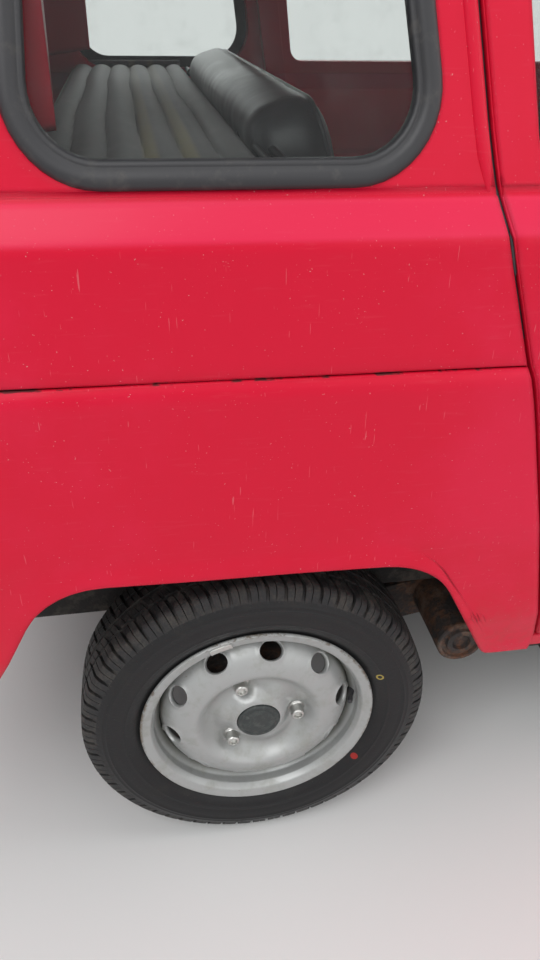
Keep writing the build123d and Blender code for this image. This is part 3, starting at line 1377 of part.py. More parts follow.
def seat(x_range, y, top, cushion_size, back_size, lean):
    """Cushion and leaning back of one seat; each size is thickness, width and length or height."""
    thickness, width, length = cushion_size
    base = Location(((x_range[0] + x_range[1]) / 2, y, top - thickness / 2))
    back_thickness, _, height = back_size
    reach = sqrt((2 * SEAT_EDGE + SEAT_GAP) ** 2 - BACK_RISE**2)
    lower_edge = Vector(x_range[0] + SEAT_EDGE - reach, y, top - SEAT_EDGE + BACK_RISE)
    to_edge = Vector(back_thickness / 2 - SEAT_EDGE, 0, SEAT_EDGE - height / 2).rotate(Axis.Y, -lean)
    place = Location(lower_edge - to_edge, (0, -lean, 0))
    with BuildPart() as whole:
        add(base * cushion(length, width, thickness))
        add(place * cushion(back_thickness, width, height))
    return whole.part


with BuildPart() as front_seats:
    front_cushion = (CUSHION_THICKNESS, FRONT_SEAT_WIDTH, FRONT_SEAT_X[1] - FRONT_SEAT_X[0])
    front_back = (FRONT_BACK_THICKNESS, FRONT_SEAT_WIDTH, FRONT_BACK_HEIGHT)
    for y in (-SEAT_Y, SEAT_Y):
        add(seat(FRONT_SEAT_X, y, SEAT_TOP, front_cushion, front_back, FRONT_BACK_LEAN))
front_seats.part.label = "front_seats"

with BuildPart() as rear_seat:
    rear_cushion = (REAR_CUSHION, REAR_SEAT_WIDTH, REAR_SEAT_X[1] - REAR_SEAT_X[0])
    rear_back = (REAR_BACK_THICKNESS, REAR_SEAT_WIDTH, REAR_BACK_HEIGHT)
    add(seat(REAR_SEAT_X, 0, REAR_SEAT_TOP, rear_cushion, rear_back, REAR_BACK_LEAN))
rear_seat.part.label = "rear_seat"

# Seat frames: rails under each front seat on four legs, and brackets below the rear cushion
FRAME_HALF_TUBE = 12
FRAME_INSET = 60
FRAME_LEGS_X = (FRONT_SEAT_X[0] + 30, FRONT_SEAT_X[1] - 80)
FRAME_X = (FRONT_SEAT_X[0] - 60, FRONT_SEAT_X[1] - 40)
with BuildPart() as seat_frames:
    frame_top = SEAT_TOP - CUSHION_THICKNESS - SEAT_GAP
    frame_z = (frame_top - 2 * FRAME_HALF_TUBE, frame_top)
    reach_y = FRONT_SEAT_WIDTH / 2 - FRAME_INSET
    for y in (-SEAT_Y, SEAT_Y):
        for side in (-1, 1):
            rail_y = y + side * reach_y
            rail = (rail_y - FRAME_HALF_TUBE, rail_y + FRAME_HALF_TUBE)
            add(block(FRAME_X, rail, frame_z))
            for x in FRAME_LEGS_X:
                add(block((x - FRAME_HALF_TUBE, x + FRAME_HALF_TUBE), rail, (FLOOR_TOP, frame_z[0] + 1)))
        add(block((FRAME_X[0], FRAME_X[0] + 2 * FRAME_HALF_TUBE), (y - reach_y, y + reach_y), frame_z))
seat_frames.part.label = "seat_frames"

REAR_FRAME_Y = 380
REAR_FRAME_HALF_WIDTH = 15
REAR_FRAME_BAR = 9
with BuildPart() as rear_seat_frame:
    frame_top = REAR_SEAT_TOP - REAR_CUSHION - SEAT_GAP
    rear_leg = (REAR_SEAT_X[0] + 8, REAR_SEAT_X[0] + 20)
    front_leg = (REAR_SEAT_X[1] - 40, REAR_SEAT_X[1] - 20)
    for y in (-REAR_FRAME_Y, REAR_FRAME_Y):
        bar_y = (y - REAR_FRAME_HALF_WIDTH, y + REAR_FRAME_HALF_WIDTH)
        add(block(rear_leg, bar_y, (BOOT_FLOOR_TOP, frame_top)))
        add(block((rear_leg[0], front_leg[1]), bar_y, (frame_top - REAR_FRAME_BAR, frame_top)))
        add(block(front_leg, bar_y, (FLOOR_TOP, frame_top)))
rear_seat_frame.part.label = "rear_seat_frame"

SHELF_X = (-1447, -1182)
SHELF_TOP = 1060
SHELF_THICKNESS = 14
with BuildPart() as parcel_shelf:
    add(block(SHELF_X, (-SIDE_REACH, SIDE_REACH), (SHELF_TOP - SHELF_THICKNESS, SHELF_TOP)))
    add(inner, mode=Mode.INTERSECT)
parcel_shelf.part.label = "parcel_shelf"

PIECES = [
    platform,
    roof,
    side_frame_right,
    side_frame_left,
    windscreen_frame,
    rear_wings,
    front_wings,
    front_panel,
    tail_panel,
    window_seals,
    windscreen,
    quarter_glasses,
    bumper_front,
    bumper_rear,
    headlamps,
    tail_lamps,
    engine,
    exhaust,
    fuel_tank,
    front_arms,
    rear_arms,
    dampers,
    rack_housing,
    dashboard,
    steering_column,
    front_seats,
    seat_frames,
    rear_seat,
    rear_seat_frame,
    parcel_shelf,
    door_front_right,
    door_front_left,
    door_rear_right,
    door_rear_left,
    door_glass_front_right,
    door_glass_front_left,
    door_glass_rear_right,
    door_glass_rear_left,
    tailgate,
    tailgate_seal,
    tailgate_glass,
    bonnet,
    grille,
    knuckle_right,
    knuckle_left,
    steering_rack,
    steering_wheel,
    *wheels.values(),
    *tyres.values(),
]
for piece in PIECES:
    export_step(piece.part, f"parts/{piece.part.label}.step")
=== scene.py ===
"""Small five-door hatchback: paint, wheels, glass, seals, trim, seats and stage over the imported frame."""

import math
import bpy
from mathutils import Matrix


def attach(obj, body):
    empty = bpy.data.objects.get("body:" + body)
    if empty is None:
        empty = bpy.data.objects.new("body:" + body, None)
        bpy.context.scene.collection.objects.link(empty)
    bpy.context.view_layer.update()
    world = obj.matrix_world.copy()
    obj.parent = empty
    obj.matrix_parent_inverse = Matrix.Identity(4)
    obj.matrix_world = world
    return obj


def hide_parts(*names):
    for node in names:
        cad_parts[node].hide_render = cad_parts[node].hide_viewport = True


bl_info = {
    "name": "Hatchback Finish",
    "version": (1, 0, 0),
    "blender": (4, 5, 0),
    "location": "3D View > Sidebar > Hatchback",
    "description": "Paint, wheels, glass, seals, trim, seats and stage for a small hatchback",
    "category": "Object",
}

import bmesh
import bpy
import numpy as np
from bpy.props import FloatProperty, FloatVectorProperty, IntProperty, PointerProperty
from bpy.types import Operator, Panel, PropertyGroup
from mathutils import Matrix, Vector

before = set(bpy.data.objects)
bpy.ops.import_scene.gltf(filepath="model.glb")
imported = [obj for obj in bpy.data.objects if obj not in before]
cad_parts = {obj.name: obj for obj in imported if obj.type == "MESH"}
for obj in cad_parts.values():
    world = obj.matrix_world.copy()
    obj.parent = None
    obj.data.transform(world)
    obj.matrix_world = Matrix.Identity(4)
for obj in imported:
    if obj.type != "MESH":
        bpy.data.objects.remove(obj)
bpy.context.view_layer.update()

SIDES = {"right": -1, "left": 1}
CORNERS = ("front_right", "front_left", "rear_right", "rear_left")

# Body form in metres: height, tail end, nose end, half width, tail corner radius, bow of the nose
BODY_SECTIONS = np.array(
    [
        (0.370, -1.700, 1.716, 0.690, 0.110, 0.060),
        (0.470, -1.745, 1.738, 0.722, 0.110, 0.060),
        (0.640, -1.765, 1.750, 0.740, 0.110, 0.060),
        (0.856, -1.768, 1.752, 0.743, 0.110, 0.060),
        (0.870, -1.762, 1.748, 0.736, 0.110, 0.060),
        (1.015, -1.752, 1.748, 0.734, 0.110, 0.060),
        (1.052, -1.738, 1.726, 0.712, 0.100, 0.060),
        (1.0521, -1.735, 0.880, 0.706, 0.130, 0.045),
        (1.560, -1.486, 0.509, 0.586, 0.130, 0.045),
    ]
)
WAIST = 1.052
BEVEL_HEIGHTS = [1.011, 1.015, 1.019, 1.024, 1.031, 1.039, 1.045]
BEVEL_HEIGHTS += [1.0485, 1.0505, 1.052, 1.0535, 1.0555, 1.058, 1.061]
SEAM = 0.870
SIDE_BOW = 0.025
TAIL_BOW = 0.030
SCREEN_BOW = 0.045
ROOF_CROWN = (-0.300, 1.545)
ROOF_ENDS = ((0.900, 1.394), (-1.700, 1.435))
ROOF_CROSS_RADIUS = 3.0
ROOF_THICKNESS = 0.022
PROUD = 0.002
SKIN_WALL = 0.0009
DOOR_GAP = 0.005


class HatchbackPaint(PropertyGroup):
    colour: FloatVectorProperty(
        name="Paint",
        description="Body colour",
        subtype="COLOR",
        size=4,
        min=0,
        max=1,
        default=(0.70, 0.004, 0.034, 1),
    )
    faded: FloatVectorProperty(
        name="Faded paint",
        description="Body colour where the sun has bleached it",
        subtype="COLOR",
        size=4,
        min=0,
        max=1,
        default=(0.80, 0.018, 0.075, 1),
    )
    gloss: FloatProperty(
        name="Roughness", description="Roughness of the paint", default=0.34, min=0, max=1, subtype="FACTOR"
    )
    dirt: FloatProperty(
        name="Dirt", description="Dust low on the body", default=0.35, min=0, max=1, subtype="FACTOR"
    )


class HatchbackWheels(PropertyGroup):
    silver: FloatVectorProperty(
        name="Wheel",
        description="Colour of the steel wheels",
        subtype="COLOR",
        size=4,
        min=0,
        max=1,
        default=(0.42, 0.43, 0.425, 1),
    )
    pitches: IntProperty(
        name="Tread pitches", description="Tread blocks round the tyre", default=62, min=24, max=96
    )
    groove: FloatProperty(
        name="Groove depth",
        description="Depth of the tread",
        default=0.0065,
        min=0.001,
        max=0.012,
        unit="LENGTH",
        precision=4,
    )


class HatchbackTrim(PropertyGroup):
    rubber: FloatVectorProperty(
        name="Rubber",
        description="Colour of the window rubbers",
        subtype="COLOR",
        size=4,
        min=0,
        max=1,
        default=(0.022, 0.022, 0.025, 1),
    )
    vinyl: FloatVectorProperty(
        name="Seats",
        description="Colour of the seat covers",
        subtype="COLOR",
        size=4,
        min=0,
        max=1,
        default=(0.030, 0.030, 0.034, 1),
    )


class HatchbackStage(PropertyGroup):
    floor: FloatVectorProperty(
        name="Floor",
        description="Colour of the studio floor",
        subtype="COLOR",
        size=4,
        min=0,
        max=1,
        default=(0.88, 0.88, 0.87, 1),
    )
    yaw: FloatProperty(
        name="Camera yaw", description="Turn of the view toward the nose", default=0.17837, subtype="ANGLE"
    )
    pitch: FloatProperty(
        name="Camera pitch", description="Tilt of the view down", default=0.56595, subtype="ANGLE"
    )
    roll: FloatProperty(name="Camera roll", description="Roll of the view", default=0.020104, subtype="ANGLE")
    lens: FloatProperty(
        name="Lens", description="Focal length in millimetres", default=28.878, min=10, max=200
    )


class Value:
    """A shader socket that Python's operators work on; each one adds a Math node."""

    def __init__(self, shader, socket):
        self.shader = shader
        self.socket = socket

    def math(self, operation, first, second=None):
        inputs = {0: first} if second is None else {0: first, 1: second}
        return self.shader.node("ShaderNodeMath", {"operation": operation}, inputs)

    def __add__(self, other):
        return self.math("ADD", self, other)

    __radd__ = __add__

    def __sub__(self, other):
        return self.math("SUBTRACT", self, other)

    def __rsub__(self, other):
        return self.math("SUBTRACT", other, self)

    def __mul__(self, other):
        return self.math("MULTIPLY", self, other)

    __rmul__ = __mul__

    def __truediv__(self, other):
        return self.math("DIVIDE", self, other)

    def __pow__(self, other):
        return self.math("POWER", self, other)

    def __abs__(self):
        return self.math("ABSOLUTE", self)


class Shader:
    """A material's node tree, with short ways to the textures used on this car."""

    def __init__(self, name):
        self.material = bpy.data.materials.new(name)
        self.material.use_nodes = True
        self.tree = self.material.node_tree
        self.tree.nodes.clear()
        self.place = self.node("ShaderNodeTexCoord", output="Object")

    def node(self, kind, settings=None, inputs=None, output=0):
        """Adds a node: settings come first, then the values or links of its sockets."""
        added = self.tree.nodes.new(kind)
        for name, value in (settings or {}).items():
            if name == "stops":
                ramp = added.color_ramp
                while len(ramp.elements) < len(value):
                    ramp.elements.new(0.5)
                for element, (position, colour) in zip(ramp.elements, value):
                    element.position = position
                    element.color = colour
            else:
                setattr(added, name, value)
        for name, value in (inputs or {}).items():
            if isinstance(value, Value):
                self.tree.links.new(value.socket, added.inputs[name])
            else:
                added.inputs[name].default_value = value
        return Value(self, added.outputs[output]) if added.outputs else None

    def axes(self):
        """X, Y and Z of the place, in the car's frame."""
        split = self.node("ShaderNodeSeparateXYZ", inputs={0: self.place})
        outputs = split.socket.node.outputs
        return [Value(self, outputs[name]) for name in ("X", "Y", "Z")]

    def stretched(self, scale, place=None):
        """The place scaled apart on each axis, for streaks and scratches."""
        return self.node("ShaderNodeMapping", inputs={"Vector": place or self.place, "Scale": scale})

    def noise(self, scale, detail=3.0, roughness=0.55, place=None, distortion=0.0):
        inputs = {
            "Vector": place or self.place,
            "Scale": scale,
            "Detail": detail,
            "Roughness": roughness,
            "Distortion": distortion,
        }
        return self.node("ShaderNodeTexNoise", inputs=inputs)

    def cells(self, scale, feature="F1", place=None):
        return self.node(
            "ShaderNodeTexVoronoi",
            {"feature": feature},
            {"Vector": place or self.place, "Scale": scale},
            "Distance",
        )

    def step(self, value, low, high):
        """Smooth step of a value from 0 at low to 1 at high."""
        inputs = {"Value": value, "From Min": low, "From Max": high}
        return self.node("ShaderNodeMapRange", {"interpolation_type": "SMOOTHSTEP"}, inputs, "Result")

    def mix(self, factor, first, second):
        """Colour mix; the factor may be a mask."""
        added = self.node("ShaderNodeMix", {"data_type": "RGBA"})
        node = added.socket.node
        for socket, value in zip((node.inputs[0], node.inputs[6], node.inputs[7]), (factor, first, second)):
            if isinstance(value, Value):
                self.tree.links.new(value.socket, socket)
            else:
                socket.default_value = value
        return Value(self, node.outputs[2])

    def distance_to(self, point):
        """Distance of the place from a point: the root of the sum of the squared differences."""
        squares = [(axis - value) * (axis - value) for axis, value in zip(self.axes(), point)]
        return (squares[0] + squares[1] + squares[2]) ** 0.5

    def rounded(self, radius):
        """Normal with the edges rounded off."""
        return self.node("ShaderNodeBevel", {"samples": 4}, {"Radius": radius})

    def bump(self, height, distance, strength=1.0, normal=None):
        inputs = {"Height": height, "Distance": distance, "Strength": strength}
        if normal is not None:
            inputs["Normal"] = normal
        return self.node("ShaderNodeBump", inputs=inputs)

    def finish(self, **sockets):
        """Closes the tree with one Principled surface; underscores in names stand for spaces."""
        inputs = {name.replace("_", " "): value for name, value in sockets.items()}
        surface = self.node("ShaderNodeBsdfPrincipled", inputs=inputs, output="BSDF")
        self.node("ShaderNodeOutputMaterial", inputs={"Surface": surface})
        return self.material


def make_paint():
    """Faded red enamel: soft cloudy fading, fine scratches, chips along the wing seam and dust low down."""
    settings = bpy.context.scene.hatchback_paint
    shader = Shader("faded_red_enamel")
    x, y, z = shader.axes()
    cloud = shader.noise(2.3, 2.0)
    mottle = shader.noise(17.0, 4.0, 0.6)
    fading = shader.step(cloud * 0.7 + mottle * 0.3, 0.42, 0.66)
    colour = shader.mix(fading * 0.45, tuple(settings.colour), tuple(settings.faded))
    drifts = shader.stretched((1.5, 1.5, 14.0))
    streaks = shader.step(shader.noise(16.0, 2.0, 0.5, drifts), 0.60, 0.78)
    colour = shader.mix(streaks * 0.10, colour, (0.75, 0.10, 0.13, 1))
    scratch_lines = shader.stretched((55.0, 55.0, 3.0))
    scratches = shader.step(shader.noise(9.0, 1.0, 0.4, scratch_lines, 0.4), 0.765, 0.785)
    colour = shader.mix(scratches * 0.35, colour, (0.80, 0.25, 0.27, 1))
    specks = shader.step(shader.noise(420.0, 1.0, 0.4), 0.755, 0.80)
    colour = shader.mix(specks * 0.5, colour, (0.62, 0.42, 0.38, 1))
    ragged = shader.noise(70.0, 4.0, 0.7)
    seam_line = 1 - shader.step(abs(z - (SEAM - 0.0005)) - ragged * 0.0022, 0.0001, 0.0010)
    behind_door = 1 - shader.step(x, -0.905, -0.897)
    flaked = seam_line * behind_door * shader.step(shader.noise(34.0, 3.0, 0.6), 0.52, 0.60)
    colour = shader.mix(flaked * 0.85, colour, (0.055, 0.030, 0.028, 1))
    # Painted sky reflection: a paler pink band along the bevel between heights 1.012 and 1.054.
    bevel_sky_reflection = shader.step(z, 1.012, 1.020) - shader.step(z, 1.050, 1.054)
    colour = shader.mix(bevel_sky_reflection * 0.45, colour, (0.93, 0.045, 0.135, 1))
    low_down = 1 - shader.step(z + mottle * 0.12, 0.40, 0.62)
    dust = low_down * shader.step(shader.noise(60.0, 5.0, 0.7), 0.40, 0.62) * settings.dirt
    colour = shader.mix(dust * 0.5, colour, (0.34, 0.20, 0.15, 1))
    roughness = settings.gloss + cloud * 0.10 + dust * 0.5 + flaked * 0.4 + specks * 0.2
    waves = shader.noise(4.2, 1.0, 0.4) + shader.noise(240.0, 1.0, 0.4) * 0.012
    normal = shader.bump(waves - flaked * 0.02, 0.010, 0.35, shader.rounded(0.006))
    return shader.finish(
        Base_Color=colour,
        Roughness=roughness,
        Normal=normal,
        Specular_IOR_Level=0.22,
        Coat_Weight=0.06,
        Coat_Roughness=0.25,
    )


def make_rubber():
    """Weathered window rubber: near black with a dull sheen and dust in the corners."""
    settings = bpy.context.scene.hatchback_trim
    shader = Shader("weathered_rubber")
    dust = shader.step(shader.noise(38.0, 5.0, 0.65), 0.52, 0.74)
    colour = shader.mix(dust * 0.35, tuple(settings.rubber), (0.13, 0.12, 0.11, 1))
    grain = shader.noise(900.0, 2.0, 0.5)
    return shader.finish(
        Base_Color=colour,
        Roughness=0.46 + dust * 0.22,
        Normal=shader.bump(grain, 0.0003, 0.4, shader.rounded(0.0015)),
    )


RED_DOT = (-1.0370, -0.6884, 0.1597)
YELLOW_RING = (-1.0112, -0.6918, 0.3424)


def make_tyre_rubber():
    """Tyre rubber: black sidewall, with earth dust on the tread and in its grooves."""
    shader = Shader("tyre_rubber")
    ground = shader.noise(34.0, 6.0, 0.7)
    fine = shader.noise(260.0, 3.0, 0.6)
    dust = shader.step(ground * 0.75 + fine * 0.25, 0.50, 0.72)
    colour = shader.mix(dust * 0.45, (0.0075, 0.0075, 0.0085, 1), (0.040, 0.037, 0.032, 1))
    specks = shader.step(shader.noise(620.0, 1.0, 0.4), 0.74, 0.79)
    colour = shader.mix(specks * 0.35, colour, (0.20, 0.18, 0.15, 1))
    dot = 1 - shader.step(shader.distance_to(RED_DOT), 0.0056, 0.0066)
    colour = shader.mix(dot * 0.8, colour, (0.42, 0.020, 0.015, 1))
    ring = 1 - shader.step(abs(shader.distance_to(YELLOW_RING) - 0.0050), 0.0008, 0.0017)
    colour = shader.mix(ring * 0.8, colour, (0.50, 0.38, 0.08, 1))
    return shader.finish(
        Base_Color=colour,
        Specular_IOR_Level=0.35,
        Roughness=0.42 + dust * 0.30,
        Normal=shader.bump(fine, 0.0006, 0.5),
    )


def make_tread_rubber():
    """Tread rubber: scuffed, greyer and dustier than the sidewall."""
    shader = Shader("tread_rubber")
    ground = shader.noise(46.0, 6.0, 0.72)
    fine = shader.noise(330.0, 3.0, 0.6)
    dust = shader.step(ground * 0.7 + fine * 0.3, 0.44, 0.66)
    colour = shader.mix(dust * 0.75, (0.010, 0.010, 0.011, 1), (0.085, 0.079, 0.070, 1))
    return shader.finish(
        Base_Color=colour,
        Roughness=0.62 + dust * 0.3,
        Normal=shader.bump(fine + ground * 0.5, 0.0012, 0.6),
    )


def make_wheel_paint(name, centre):
    """Silver wheel enamel about one wheel's axis: brake grime, and flaked rust along the rim's edge."""
    settings = bpy.context.scene.hatchback_wheels
    shader = Shader(f"silver_wheel_enamel_{name}")
    x, _, z = shader.axes()
    from_axis_x = x - centre[0]
    from_axis_z = z - centre[2]
    radius = (from_axis_x * from_axis_x + from_axis_z * from_axis_z) ** 0.5
    ragged = shader.noise(95.0, 5.0, 0.75)
    broad = shader.noise(9.0, 3.0, 0.6)
    grime = shader.step(shader.noise(30.0, 6.0, 0.7), 0.46, 0.70)
    colour = shader.mix(grime * 0.35, tuple(settings.silver), (0.27, 0.27, 0.22, 1))
    # Painted shade with some grime: darker rings at the crease of the disc's edge and at the foot of the bowl.
    crease = 1 - shader.step(abs(radius - 0.1525), 0.0015, 0.0075)
    bowl_foot = 1 - shader.step(abs(radius - 0.070), 0.004, 0.022)
    crease_shade_and_grime = (crease * 0.8 + bowl_foot * 0.16) * (0.5 + broad * 0.7)
    colour = shader.mix(crease_shade_and_grime, colour, (0.12, 0.12, 0.095, 1))
    edge = shader.step(radius, 0.1765, 0.1815)
    flaked = edge * shader.step(ragged * 0.6 + broad * 0.45, 0.52, 0.60)
    colour = shader.mix(flaked * 0.85, colour, (0.16, 0.12, 0.085, 1))
    spots = shader.step(shader.noise(150.0, 3.0, 0.6), 0.70, 0.76)
    colour = shader.mix(spots * 0.4, colour, (0.20, 0.16, 0.11, 1))
    roughness = 0.40 + grime * 0.18 + flaked * 0.30 + spots * 0.15
    return shader.finish(
        Base_Color=colour,
        Metallic=0.34 - flaked * 0.30,
        Roughness=roughness,
        Normal=shader.bump(ragged * flaked * 2 + ragged * 0.12, 0.0010, 0.6),
    )


def make_cap_plastic():
    """Dark grey moulded plastic of the wheels' centre caps, scuffed and dusty."""
    shader = Shader("cap_plastic")
    dust = shader.step(shader.noise(120.0, 5.0, 0.7), 0.45, 0.70)
    colour = shader.mix(dust * 0.6, (0.030, 0.036, 0.036, 1), (0.12, 0.13, 0.12, 1))
    return shader.finish(
        Base_Color=colour,
        Roughness=0.5 + dust * 0.2,
        Normal=shader.bump(dust, 0.0006, 0.4, shader.rounded(0.0008)),
    )


def make_bright_steel(name="plated_steel", colour=(0.55, 0.55, 0.53, 1), roughness=0.28):
    """Plated steel with dull spots."""
    shader = Shader(name)
    spots = shader.step(shader.noise(90.0, 5.0, 0.7), 0.50, 0.72)
    tint = shader.mix(spots * 0.4, colour, (0.25, 0.24, 0.21, 1))
    return shader.finish(
        Base_Color=tint,
        Metallic=1.0,
        Roughness=roughness + spots * 0.25,
        Normal=shader.bump(spots, 0.0005, 0.3, shader.rounded(0.0015)),
    )


def make_bumper_enamel():
    """Satin grey enamel of the bumpers, a little scuffed."""
    shader = Shader("satin_grey_enamel")
    cloud = shader.noise(12.0, 4.0, 0.6)
    scuffs = shader.step(shader.noise(22.0, 2.0, 0.5, shader.stretched((1, 1, 30))), 0.68, 0.74)
    colour = shader.mix(cloud * 0.3, (0.30, 0.31, 0.32, 1), (0.22, 0.22, 0.22, 1))
    colour = shader.mix(scuffs * 0.3, colour, (0.42, 0.42, 0.41, 1))
    return shader.finish(
        Base_Color=colour,
        Metallic=0.35,
        Roughness=0.36 + cloud * 0.15,
        Normal=shader.bump(cloud, 0.0005, 0.3, shader.rounded(0.005)),
    )


def make_rusty_iron():
    """Old chassis iron: flaking dark paint over brown and orange rust, with dried mud."""
    shader = Shader("rusty_iron")
    broad = shader.noise(14.0, 4.0, 0.65)
    ragged = shader.noise(75.0, 6.0, 0.75)
    pits = shader.cells(130.0)
    rust = shader.step(broad * 0.55 + ragged * 0.45, 0.44, 0.58)
    colour = shader.mix(rust, (0.045, 0.040, 0.038, 1), (0.15, 0.072, 0.040, 1))
    mud = shader.step(shader.noise(28.0, 6.0, 0.7), 0.50, 0.68)
    colour = shader.mix(mud * 0.55, colour, (0.20, 0.17, 0.14, 1))
    return shader.finish(
        Base_Color=colour,
        Metallic=0.25,
        Roughness=0.78,
        Normal=shader.bump(ragged + pits * 0.5, 0.0035, 0.8, shader.rounded(0.002)),
    )


def make_underbody():
    """Black underbody coating with a film of road dust."""
    shader = Shader("underbody_coating")
    dust = shader.step(shader.noise(22.0, 6.0, 0.7), 0.44, 0.68)
    colour = shader.mix(dust * 0.7, (0.022, 0.021, 0.020, 1), (0.13, 0.115, 0.095, 1))
    grain = shader.noise(190.0, 4.0, 0.65)
    return shader.finish(
        Base_Color=colour, Roughness=0.8, Normal=shader.bump(grain, 0.0020, 0.6, shader.rounded(0.003))
    )


def make_moulded_plastic(name="moulded_plastic", colour=(0.022, 0.022, 0.024, 1), roughness=0.5):
    """Moulded plastic with a fine leather grain."""
    shader = Shader(name)
    grain = shader.cells(620.0)
    dust = shader.step(shader.noise(24.0, 5.0, 0.65), 0.50, 0.75)
    tint = shader.mix(dust * 0.3, colour, (0.10, 0.095, 0.085, 1))
    return shader.finish(
        Base_Color=tint,
        Roughness=roughness + dust * 0.15,
        Normal=shader.bump(grain, 0.0004, 0.5, shader.rounded(0.002)),
    )


def make_vinyl():
    """Seat vinyl: near black with a pebbled grain, worn smoother on top, with faint creases."""
    settings = bpy.context.scene.hatchback_trim
    shader = Shader("seat_vinyl")
    pebbles = shader.cells(480.0)
    creases = shader.noise(30.0, 3.0, 0.6, shader.stretched((1.0, 3.0, 1.0)), 1.2)
    wear = shader.step(shader.noise(6.0, 3.0, 0.6), 0.45, 0.68)
    colour = shader.mix(wear * 0.5, tuple(settings.vinyl), (0.075, 0.075, 0.080, 1))
    return shader.finish(
        Base_Color=colour,
        Roughness=0.44 - wear * 0.10,
        Normal=shader.bump(pebbles * 0.25 + creases, 0.0016, 0.5),
        Sheen_Weight=0.05,
    )


def make_headlining():
    """Pale perforated headlining and door card vinyl."""
    shader = Shader("pale_vinyl")
    stains = shader.step(shader.noise(5.0, 4.0, 0.6), 0.45, 0.75)
    colour = shader.mix(stains * 0.4, (0.34, 0.34, 0.33, 1), (0.24, 0.23, 0.21, 1))
    dots = shader.cells(260.0)
    return shader.finish(Base_Color=colour, Roughness=0.7, Normal=shader.bump(dots, 0.0006, 0.5))


def make_glass(name="window_glass", tint=(0.955, 0.972, 0.965, 1)):
    """Window glass: clear with a green tinge and a film of dust toward the edges."""
    shader = Shader(name)
    film = shader.step(shader.noise(16.0, 6.0, 0.7), 0.48, 0.80)
    clear = shader.node("ShaderNodeBsdfTransparent", inputs={"Color": tint})
    shine = shader.node(
        "ShaderNodeBsdfPrincipled",
        inputs={"Base Color": (0.30, 0.31, 0.31, 1), "Roughness": 0.04, "Specular IOR Level": 0.5},
    )
    edge_on = shader.node("ShaderNodeFresnel", inputs={"IOR": 1.5})
    factor = edge_on * 0.95 + film * 0.05 + 0.02
    surface = shader.node("ShaderNodeMixShader", inputs={0: factor, 1: clear, 2: shine})
    shader.node("ShaderNodeOutputMaterial", inputs={"Surface": surface})
    return shader.material


def circle_through(first, middle, last):
    """Centre and radius of the circle through three plan points, where two perpendicular bisectors cross."""
    (ax, ay), (bx, by), (cx, cy) = first, middle, last
    twice = 2 * (ax * (by - cy) + bx * (cy - ay) + cx * (ay - by))
    a_square, b_square, c_square = ax**2 + ay**2, bx**2 + by**2, cx**2 + cy**2
    x = (a_square * (by - cy) + b_square * (cy - ay) + c_square * (ay - by)) / twice
    y = (a_square * (cx - bx) + b_square * (ax - cx) + c_square * (bx - ax)) / twice
    return x, y, np.hypot(ax - x, ay - y)


def plan_at(z):
    """Plan outline of the body at each height: side circle, tail circle and the round corner between them.

    The table's columns follow straight lines between its heights, averaged over a few millimetres so that creases
    are soft. The side circle passes both ends of the side and its middle, and the tail circle both ends of the tail
    and its rearmost point. The corner's centre is where the two circles, each drawn in by its radius, cross.
    """
    soft = 0.003 + 0.006 * np.exp(-(((z - 1.015) / 0.012) ** 2)) + 0.006 * np.exp(-(((z - 0.852) / 0.010) ** 2))
    heights = z[..., None] + soft[..., None] * np.linspace(-1, 1, 7)
    tail, nose, half, corner, bow = (
        np.interp(heights, BODY_SECTIONS[:, 0], BODY_SECTIONS[:, column]).mean(axis=-1) for column in range(1, 6)
    )
    edge = half - SIDE_BOW
    ends = (tail + TAIL_BOW, edge), ((tail + nose) / 2, half), (nose - bow, edge)
    side_x, side_y, side_radius = circle_through(*ends)
    tail_radius = (TAIL_BOW**2 + edge**2) / (2 * TAIL_BOW)
    tail_x = tail + tail_radius
    reach_side, reach_tail = side_radius - corner, tail_radius - corner
    apart_x, apart_y = tail_x - side_x, -side_y
    apart = np.hypot(apart_x, apart_y)
    along = (apart**2 + reach_side**2 - reach_tail**2) / (2 * apart)
    across = np.sqrt(reach_side**2 - along**2)
    centre_x = side_x + (along * apart_x - across * apart_y) / apart
    centre_y = side_y + (along * apart_y + across * apart_x) / apart
    first = np.arctan2(centre_y - side_y, centre_x - side_x)
    last = np.arctan2(centre_y, centre_x - tail_x)
    start = side_x + side_radius * np.cos(first)
    return {
        "side": (side_x, side_y, side_radius),
        "tail": (tail_x, tail_radius),
        "corner": (centre_x, centre_y, corner),
        "turn": (first, last),
        "start": start,
        "tail_start": start - corner * (last - first),
    }


def shell(station, z, out=0.0, side=-1):
    """Point on the body's side at a station and height, pushed out along the level normal.

    The station is x along the side. Behind the start of the tail corner it goes on as the length round the corner
    and then across the tail: on each circle the point is centre + (radius + out) * (cos a, sin a).
    """
    station, z, out = (np.array(value, float) for value in np.broadcast_arrays(station, z, out))
    plan = plan_at(z)
    side_x, side_y, side_radius = plan["side"]
    tail_x, tail_radius = plan["tail"]
    centre_x, centre_y, corner = plan["corner"]
    first, last = plan["turn"]
    on_side = np.arccos(np.clip((station - side_x) / side_radius, -1, 1))
    in_corner = np.clip(first + (plan["start"] - station) / corner, first, last)
    on_tail = last + np.maximum(plan["tail_start"] - station, 0) / tail_radius
    conditions = [station >= plan["start"], station >= plan["tail_start"]]
    angle = np.select(conditions, [on_side, in_corner], on_tail)
    radius = np.select(conditions, [side_radius, corner], tail_radius) + out
    x = np.select(conditions, [side_x, centre_x], tail_x) + radius * np.cos(angle)
    y = np.select(conditions, [side_y, centre_y], 0.0) + radius * np.sin(angle)
    return np.stack([x, side * y, z], axis=-1)


def tail_station(z, y):
    """Station of the point on the tail that lies at a distance y from the middle of the car."""
    z = np.asarray(z, float)
    plan = plan_at(z)
    tail_x, tail_radius = plan["tail"]
    angle = math.pi - np.arcsin(y / tail_radius)
    return plan["tail_start"] - tail_radius * (angle - plan["turn"][1])


